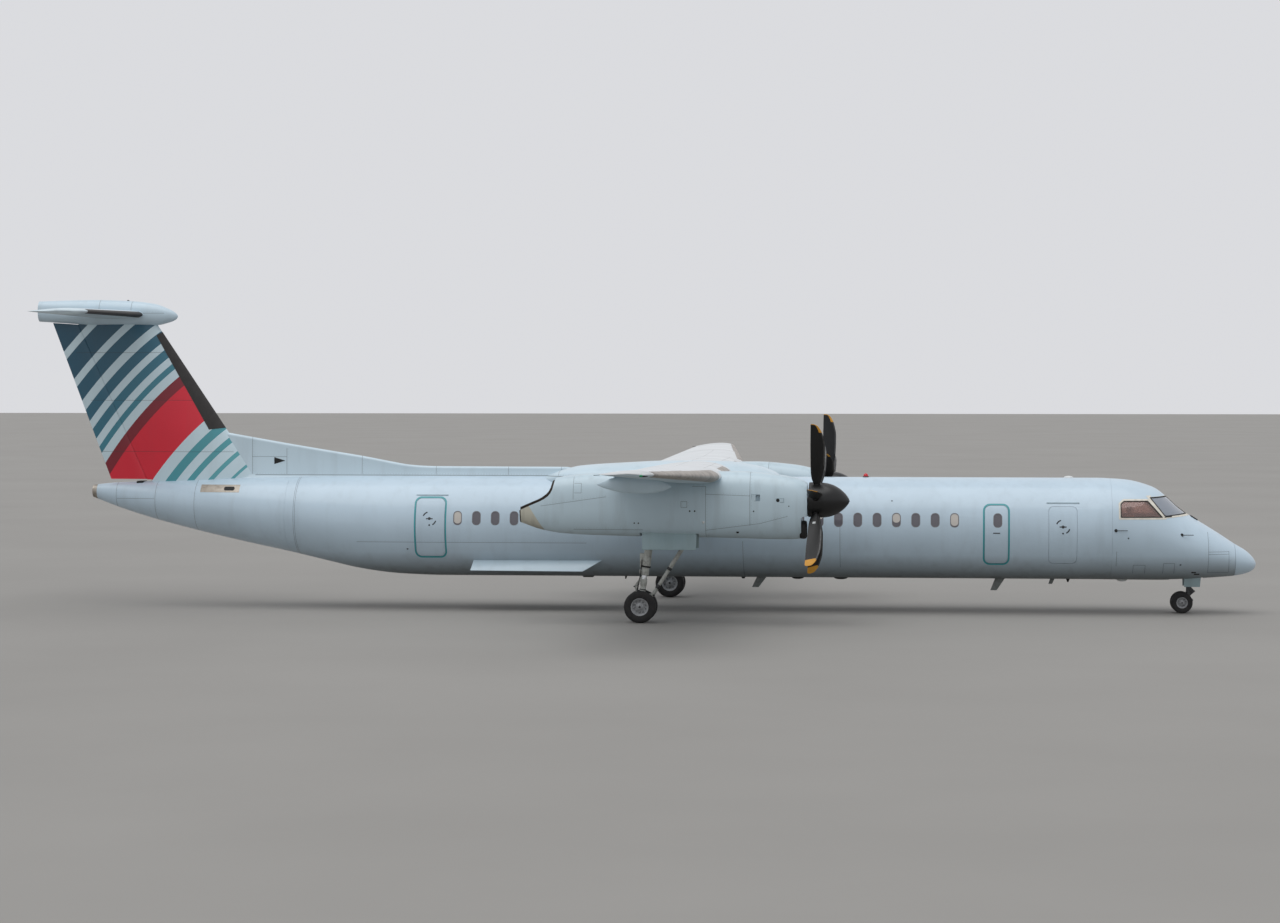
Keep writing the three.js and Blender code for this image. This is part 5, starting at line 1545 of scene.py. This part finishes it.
# Main leg: forked top pivot, sleeve, collar and bracket, sliding lower part, drag strut, links and brakes
def mainLeg():
    x, z = mainGear["axle"]
    pieces = bars([
        (0.9, -0.3997, 2.85, 0.9, 0.3997, 2.85, 0.06, brakeSteel),
        (0.9, 0, 2.85, 0.68, 0, 1.42, 0.1, gearEnamel),
        (0.72, 0, 1.68, 0.68, 0, 1.42, 0.112, gearEnamel),
        (0.684, 0, 1.44, 0.677, 0, 1.4, 0.122, blackSealAndShade),
        (0.676, 0, 1.4, 0.652, 0, 1.2, 0.098, gearEnamel),
        (0.65, 0, 1.24, 0.612, 0, 0.92, 0.07, oleoChrome),
        (0.636, 0, 1.1, 0.613, 0, 0.93, 0.084, gearEnamel),
        (0.616, 0, 0.95, 0.556, 0, 0.46, 0.072, gearEnamel),
        (0.603, 0, 0.85, 0.6, 0, 0.825, 0.082, brakeSteel),
        (1.95, -0.3997, 2.42, 1.95, 0.3997, 2.42, 0.035, brakeSteel),
        (1.95, 0, 2.42, 1.27, 0, 1.35, 0.055, gearEnamel),
        (1.3, 0, 1.398, 1.26, 0, 1.334, 0.064, brakeSteel),
        (1.29, 0, 1.382, 0.85, 0, 0.69, 0.046, gearEnamel),
        (1.02, 0, 0.957, 0.96, 0, 0.863, 0.056, brakeSteel),
        (0.885, -0.06, 0.69, 0.885, 0.06, 0.69, 0.026, brakeSteel),
        (0.385, -0.036, 0.91, 0.385, 0.036, 0.91, 0.02, brakeSteel),
        (0.625, -0.05, 1.2, 0.625, 0.05, 1.2, 0.022, brakeSteel),
        (0.54, -0.05, 0.54, 0.54, 0.05, 0.54, 0.022, brakeSteel),
    ])
    pieces += blocks([
        (0.56, 0.9, -0.038, 0.038, 0.652, 0.728, 0.012, gearEnamel),
        (0.53, 0.68, -0.05, 0.05, 1.4, 1.76, 0.02, gearEnamel),
        (0.515, 0.62, -0.045, 0.045, 1.24, 1.34, 0.015, gearEnamel),
    ])
    pieces += linkPlates(mainGear["upperLink"], 0.03, 0.014, gearEnamel)
    pieces += linkPlates(mainGear["lowerLink"], 0.03, 0.014, gearEnamel)
    pieces.append(bearing(mainGear))
    disc = [(0.056, 0.1), (0.11, 0.1), (0.12, 0.122), (0.162, 0.122), (0.166, 0.13), (0.166, 0.192),
            (0.056, 0.192)]
    for side in (1, -1):
        pieces.append(lathe(disc, (x, 0, z), (0, side, 0), 48, brakeSteel))
        line = [(0.585, side * 0.07, 1.6), (0.545, side * 0.1, 1.2), (0.47, side * 0.09, 0.88),
                (0.47, side * 0.085, 0.62), (0.5, side * 0.105, 0.5)]
        pieces.append(hose(line, 0.011, hoseBraid))
    line = [(1.9, 0.05, 2.35), (1.6, 0.06, 1.9), (1.3, 0.055, 1.42), (0.98, 0.05, 0.92)]
    pieces.append(hose(line, 0.009, hoseBraid))
    return merged(pieces)


def gearDoorPair(side):
    door = mainGear["door"]
    x1, x2 = door["x"]
    top, knee, foot = door["z"]
    y1, y2 = side * door["y"], side * (door["y"] + door["flare"])
    half = door["thick"] / 2
    flange = [(x1, y1, top), (x2, y1, top), (x2, y1, knee - 0.01), (x1, y1, knee - 0.01)]
    sheet = [(x1, y1, knee), (x2, y1, knee), (x2 - 0.012, y2, foot), (x1 + 0.012, y2, foot)]
    pieces = [slab(flange, 2 * half, doorEnamel), slab(sheet, 2 * half, doorEnamel, 0.006)]
    for x in (x1 + 0.3, x2 - 0.3):
        inner = side * (half + 0.012)
        rib = [(x - 0.02, y1 - inner, knee - 0.02), (x + 0.02, y1 - inner, knee - 0.02),
               (x + 0.02, y2 - inner, foot + 0.04), (x - 0.02, y2 - inner, foot + 0.04)]
        pieces.append(slab(rib, 0.022, gearEnamel))
    return merged(pieces)


for side, shift in (("left", mainGear["y"]), ("right", -mainGear["y"])):
    aside = Matrix.Translation((0, shift, 0))
    outward = 1 if shift > 0 else -1
    handOver(moved(mainLeg(), aside), f"main_leg_assembly_{side}", "root", "gear_paint", [f"main_leg_{side}"])
    handOver(wheelPair(mainGear, shift), f"main_wheel_pair_{side}", f"main_wheels_{side}", "wheel_metal",
             [f"main_wheels_{side}"])
    for place, sign in (("outer", outward), ("inner", -outward)):
        handOver(tyre(mainGear, shift + sign * mainGear["offset"]), f"main_tyre_tread_{place}_{side}",
                 f"main_wheels_{side}", "tyre_rubber", [f"main_tyre_{place}_{side}"])
        handOver(moved(gearDoorPair(sign), aside), f"main_gear_door_sheet_{place}_{side}", "root",
                 "gear_paint", [f"main_gear_door_{place}_{side}"])
    painted(nodes[f"engine_{side}"], engineCasting)
print("main gear done")


# Nose leg: a fixed sleeve with its brace, and below it the part that steers
def noseFixed():
    pieces = bars([
        (14.66, 0, 1.45, 14.66, 0, 0.77, 0.07, gearEnamel),
        (14.66, 0, 0.86, 14.66, 0, 0.765, 0.08, brakeSteel),
        (14.66, 0, 1.06, 15.0, 0, 1.41, 0.03, gearEnamel),
        (15.0, -0.24, 1.41, 15.0, 0.24, 1.41, 0.027, brakeSteel),
        (14.66, -0.24, 1.38, 14.66, 0.24, 1.38, 0.027, brakeSteel),
        (14.6, 0.05, 0.9, 14.6, -0.05, 0.9, 0.03, brakeSteel),
    ])
    for side in (1, -1):
        pieces += bars([(14.73, side * 0.1, 0.84, 14.58, side * 0.1, 0.84, 0.026, gearEnamel)])
        pieces.append(block(14.63, 14.69, *sideReach(side, 0.05, 0.1), 0.82, 0.86, 0.008, gearEnamel))
        line = [(14.72, side * 0.045, 1.4), (14.76, side * 0.05, 1.1), (14.735, side * 0.04, 0.83)]
        pieces.append(hose(line, 0.01, hoseBraid))
    return merged(pieces)


def noseSteering():
    x, z = noseGear["axle"]
    pieces = bars([
        (14.66, 0, 0.757, 14.66, 0, 0.69, 0.079, brakeSteel),
        (14.66, 0, 0.7, 14.66, 0, 0.4, 0.052, brakeSteel),
        (14.66, 0, 0.56, 14.66, 0, 0.385, 0.066, brakeSteel),
        (14.655, 0, 0.42, x + 0.02, 0, z + 0.02, 0.05, brakeSteel),
        (14.66, 0, 0.4, 14.775, 0, 0.332, 0.036, brakeSteel),
        (14.775, -0.045, 0.332, 14.775, 0.045, 0.332, 0.02, brakeSteel),
        (14.83, -0.03, 0.575, 14.83, 0.03, 0.575, 0.018, brakeSteel),
    ])
    pieces += linkPlates(noseGear["link"], 0.026, 0.014, brakeSteel)
    pieces.append(bearing(noseGear))
    return merged(pieces)


handOver(noseFixed(), "nose_leg_assembly", "root", "gear_paint", ["nose_leg"])
handOver(noseSteering(), "nose_steering_assembly", "nose_steering", "gear_paint", ["nose_steering_leg"])
handOver(wheelPair(noseGear, 0), "nose_wheel_pair", "nose_wheels", "wheel_metal", ["nose_wheels"])
for side, sign in (("left", 1), ("right", -1)):
    handOver(tyre(noseGear, sign * noseGear["offset"]), f"nose_tyre_tread_{side}", "nose_wheels",
             "tyre_rubber", [f"nose_tyre_{side}"])
    door = noseGear["door"]
    (x1, x2), y, (top, foot) = door["x"], sign * door["y"], door["z"]
    corners = [(x1, y, top), (x2, y, top), (x2 - 0.03, y, foot), (x1 + 0.01, y, foot)]
    handOver(slab(corners, door["thick"], doorEnamel, 0.006), f"nose_gear_door_sheet_{side}", "root",
             "gear_paint", [f"nose_gear_door_{side}"])
print("nose gear done")


# Strakes, lights, antennas, probes and drains
strake = {"root": [(-0.75, 0.985, 1.39), (-4.26, 0.985, 1.368)],
          "edge": [(-4.32, 1.27, 1.08), (-1.31, 1.27, 1.068)]}
plate = slab(strake["root"] + strake["edge"], 0.022, fairingPaint, 0.008)
pairOver(plate, "strake_plate", "airframe_paint", "strake")


# The side of the hull at a place, and its crown at a distance from the middle
def hullSide(x, z, out=0.0):
    _, top, bottom, half = between(fuselage["rows"], x)
    rise = (z - (top + bottom) / 2) / ((top - bottom) / 2)
    return (half + out) * math.sqrt(max(0.0, 1 - rise * rise))


def hullCrown(x, y):
    _, top, bottom, half = between(fuselage["rows"], x)
    return (top + bottom) / 2 + (top - bottom) / 2 * math.sqrt(max(0.0, 1 - (y / half) ** 2))


fittings = {
    "blades": [  # outline in X and Z, half thickness, finish
        ([(3.26, 0.89), (3.52, 0.89), (3.3, 0.6), (3.12, 0.6)], 0.014, antennaGrey),
        ([(9.6, 0.89), (9.86, 0.89), (9.64, 0.56), (9.47, 0.56)], 0.014, antennaGrey),
        ([(11.05, 0.89), (11.17, 0.89), (11.1, 0.74), (11.0, 0.74)], 0.018, antennaGrey),
        ([(11.46, 0.89), (11.57, 0.89), (11.53, 0.79), (11.5, 0.79)], 0.014, blackSealAndShade),
        ([(2.82, 0.89), (2.96, 0.89), (2.92, 0.83), (2.86, 0.83)], 0.02, blackSealAndShade),
        ([(-0.3, 0.89), (-0.24, 0.89), (-0.27, 0.8), (-0.3, 0.8)], 0.015, blackSealAndShade),
        ([(-1.45, 0.89), (-1.12, 0.89), (-1.16, 0.845), (-1.42, 0.845)], 0.1, blackSealAndShade),
        ([(-13.97, 8.28), (-13.86, 8.28), (-13.94, 8.338), (-13.97, 8.338)], 0.01, blackSealAndShade),
        ([(-13.71, 3.2), (-13.5, 3.2), (-13.5, 3.4), (-13.68, 3.4)], 0.19, blackSealAndShade),
        ([(-9.883, 3.867), (-9.883, 4.057), (-9.58, 3.962)], 0.088, blackSealAndShade),
    ],
    "domes": [  # middle, half length, half width, height, finish; below the belly or above the crown
        ((4.35, 0, 0.872), (0.16, 0.12, 0.045), blackSealAndShade), ((5.5, 0, 0.872), (0.18, 0.13, 0.045), blackSealAndShade),
        ((12.93, 0, 0.872), (0.14, 0.1, 0.055), whitePlastic),
        ((11.52, 0, 3.562), (0.13, 0.11, 0.05), whitePlastic),
    ],
    "vanes": [(12.687, 2.232), (14.405, 2.11)],
    "dots": [(13.012, 2.031, 0.02), (14.383, 1.33, 0.025), (6.869, 2.97, 0.02), (-6.02, 1.65, 0.025)],
    "slots": [(14.685, 14.80, 1.12), (14.76, 14.9, 1.07)],
    "wipers": [(13.96, 14.15, 2.575)],
    "wiperHubs": (14.79, 0.12, 0.034),  # x, distance from the middle, radius
    "handles": [  # side, x, z, and whether its turns are marked
        (-1, 11.32, 2.32, True), (-1, 9.6, 2.15, False), (-1, -5.41, 2.46, True), (1, -5.39, 2.46, True),
        (1, -7.68, 2.4, True),
    ],
    "arcs": [(108, 156), (-62, -18)],  # degrees round the handle
    "arcWidth": (0.165, 0.195),
    "studs": [(0.0, 0.04), (-0.17, 0.022)],  # height from the handle, radius
    "rails": [(10.9, 11.75, 2.93, 2.955), (-5.8, -4.94, 3.075, 3.095)],
}


# A round plug let into the hull's side
def plug(side, x, z, sunk, proud, radius, finish):
    y = side * hullSide(x, z)
    return tube((x, y - side * sunk, z), (x, y + side * proud, z), radius, finish)


# The arcs that show which way a handle turns, with its hub and lock
def turnMarks(side, x, z):
    marks = []
    inside, outside = fittings["arcWidth"]
    for start, end in fittings["arcs"]:
        angles = [math.radians(a) for a in spread(start, end, 8)]
        outer = [(x + outside * math.cos(a), z + outside * math.sin(a)) for a in angles]
        inner = [(x + inside * math.cos(a), z + inside * math.sin(a)) for a in reversed(angles)]
        marks.append(prism(outer + inner, *sideReach(side, 0.9, 1.6)))
    pieces = [hullPatch(spread(x - 0.3, x + 0.3, 0.3), 0.0025, 0.01, merged(marks), blackSealAndShade)]
    pieces += [plug(side, x, z + up, 0.01, 0.005, radius, brakeSteel) for up, radius in fittings["studs"]]
    return pieces


def sideFittings(side):
    pieces = []
    for x, z in fittings["vanes"]:
        y = side * hullSide(x, z)
        pieces.append(plug(side, x, z, 0.01, 0.012, 0.042, blackSealAndShade))
        pieces.append(tube((x, y + side * 0.035, z), (x + 0.3, y + side * 0.02, z), 0.009, brakeSteel))
        pieces.append(plug(side, x, z, 0.0, 0.04, 0.012, brakeSteel))
    pieces += [plug(side, x, z, 0.01, 0.004, radius, blackSealAndShade) for x, z, radius in fittings["dots"]]
    for start, end, z in fittings["slots"]:
        y1, y2 = [side * (hullSide(x, z, 0.003) - 0.02) for x in (start, end)]
        pieces.append(tube((start, y1, z), (end, y2, z), 0.028, blackSealAndShade))
    for start, end, z in fittings["wipers"]:
        y1, y2 = [side * hullSide(x, z, 0.006) for x in (start, end)]
        pieces.append(tube((start, y1, z), (end, y2, z + 0.015), 0.012, blackSealAndShade))
    x, y, radius = fittings["wiperHubs"]
    z = hullCrown(x, y)
    pieces.append(tube((x - 0.08, side * y, z + 0.045), (x + 0.09, side * y, z - 0.06), radius, blackSealAndShade))
    return pieces


def hullFittings():
    pieces = [prism(outline, -half, half, 0.008, 2, finish) for outline, half, finish in fittings["blades"]]
    pieces += [ball(middle, sizes, finish) for middle, sizes, finish in fittings["domes"]]
    pieces += sideFittings(1) + sideFittings(-1)
    for side, x, z, _ in fittings["handles"]:
        y = side * (hullSide(x, z) - 0.004)
        pieces.append(tube((x - 0.09, y, z), (x + 0.09, y, z), 0.014, brakeSteel))
    for x1, x2, z1, z2 in fittings["rails"]:
        rail = prism(rectangle(x1, x2, z1, z2), -1.6, -0.5)
        pieces.append(hullPatch(spread(x1 - 0.1, x2 + 0.1, 0.3), 0.012, 0.01, rail, frameGrey))
    for side, x, z, marked in fittings["handles"]:
        pieces += turnMarks(side, x, z) if marked else []
    return merged(pieces)


handOver(hullFittings(), "hull_fittings")
# A bare titanium sheet round the outlet; the outlet's opening is a black rounded sheet of painted shade
outlet = [  # how proud, x1, x2, z1, z2, corner, finish
    (0.003, -11.8, -10.7, 3.12, 3.32, 0.0, bareMetal), (0.006, -11.14, -10.84, 3.17, 3.27, 0.049, blackSealAndShade),
]
sheets = [hullPatch(spread(-12.3, -10.3, 0.2), proud, 0.02,
                    prism(rectangle(x1, x2, z1, z2), -1.4, -0.2, corner), finish)
          for proud, x1, x2, z1, z2, corner, finish in outlet]
handOver(merged(sheets), "hot_air_outlet_panel")


# Lights: red to port and green to starboard at the wing tips, clear at the tail, red on the crown
lights = {
    "tip": [((1.52, 14.1, 4.064), (0.19, 0.09, 0.05)), ((1.5, 14.164, 4.066), (0.055, 0.04, 0.038))],
    "beacon": ((6.16, 0, 3.565), (0.07, 0.07, 0.1)),
    "beaconBase": ((6.16, 0, 3.52), (6.16, 0, 3.585), 0.085),
    "tail": ((-16.37, 0, 8.02), (0.045, 0.06, 0.06)),
}
wicks = {
    "feet": [(1.06, 14.12, 4.07), (0.56, 13.95, 4.055), (-16.36, 0.1, 7.9)],
    "length": 0.14,
    "rearmost": -16.415,
    "droop": 0.01,
    "radius": 0.006,
}

for side, sign, lens in (("left", 1, redLens), ("right", -1, greenLens)):
    pieces = [ball((x, sign * y, z), sizes, finish)
              for ((x, y, z), sizes), finish in zip(lights["tip"], (blackSealAndShade, lens))]
    handOver(merged(pieces), f"wing_tip_light_{side}", "root", "wing_paint")
beacon = [ball(*lights["beacon"], redLens), tube(*lights["beaconBase"], brakeSteel)]
handOver(merged(beacon), "beacon_light")
handOver(ball(*lights["tail"], clearLens), "tail_position_light", "root", "tail_paint")
pieces = []
for x, y, z in wicks["feet"]:
    end = max(x - wicks["length"], wicks["rearmost"])
    for sign in (1, -1):
        pieces.append(tube((x, sign * y, z), (end, sign * y, z - wicks["droop"]), wicks["radius"], blackSealAndShade))
handOver(merged(pieces), "static_wicks", "root", "wing_paint")
print("fittings done")


# Floor, soft light and the camera at the photograph's place; the lens is in millimetres on a 36 mm sensor
studio = {
    "floor": 600.0, "floorMiddle": (0, 150, -0.002),
    "floorColour": "#8D8B87", "floorDark": "#83817D", "drift": 8300,
    "sky": "#FAFBFF", "skyStrength": 0.74, "sun": 1.35, "sunTilt": (12, -6, 0), "sunSoftness": 60,
}
view = {"place": (7.652, -77.84, 6.16), "left": 5.54, "down": 1.61, "lens": 81.8, "sensor": 36.0,
        "far": 1000.0}

clearSelection()
bpy.ops.mesh.primitive_plane_add(size=studio["floor"], location=studio["floorMiddle"])
floor = bpy.context.object
floor.name = "studio_floor"
# Cast concrete, power floated: a dull pale slab whose tone drifts over eight metres
concrete, tree, shader, spot = startMaterial("floated_concrete_floor", studio["floorColour"], 0.85)
drift = addNode(tree, "ShaderNodeTexNoise", {"Vector": spot, "Scale": 1000 / studio["drift"], "Detail": 5.0})
share = addNode(tree, "ShaderNodeMapRange", {0: drift, 1: 0.3, 2: 0.7, 3: 0.0, 4: 0.5})
tones = {0: share, 6: linear(studio["floorColour"]), 7: linear(studio["floorDark"])}
tree.links.new(addNode(tree, "ShaderNodeMix", tones, 2, data_type="RGBA"), shader.inputs["Base Color"])
floor.data.materials.append(concrete)

world = bpy.data.worlds.new("overcast_studio")
bpy.context.scene.world = world
world.use_nodes = True
sky = world.node_tree.nodes["Background"]
sky.inputs["Color"].default_value = linear(studio["sky"])
sky.inputs["Strength"].default_value = studio["skyStrength"]
tilt = [math.radians(a) for a in studio["sunTilt"]]
bpy.ops.object.light_add(type="SUN", location=(0, 0, 40), rotation=tilt)
lamp = bpy.context.object
lamp.data.energy = studio["sun"]
lamp.data.angle = math.radians(studio["sunSoftness"])
bpy.context.scene.view_settings.view_transform = "Standard"  # pale paint keeps its own colour in even light

bpy.ops.object.camera_add(location=view["place"],
                          rotation=(math.radians(90 - view["down"]), 0, math.radians(view["left"])))
camera = bpy.context.object
camera.data.lens = view["lens"]
camera.data.sensor_width = view["sensor"]
camera.data.clip_end = view["far"]
bpy.context.scene.camera = camera
print("stage set")
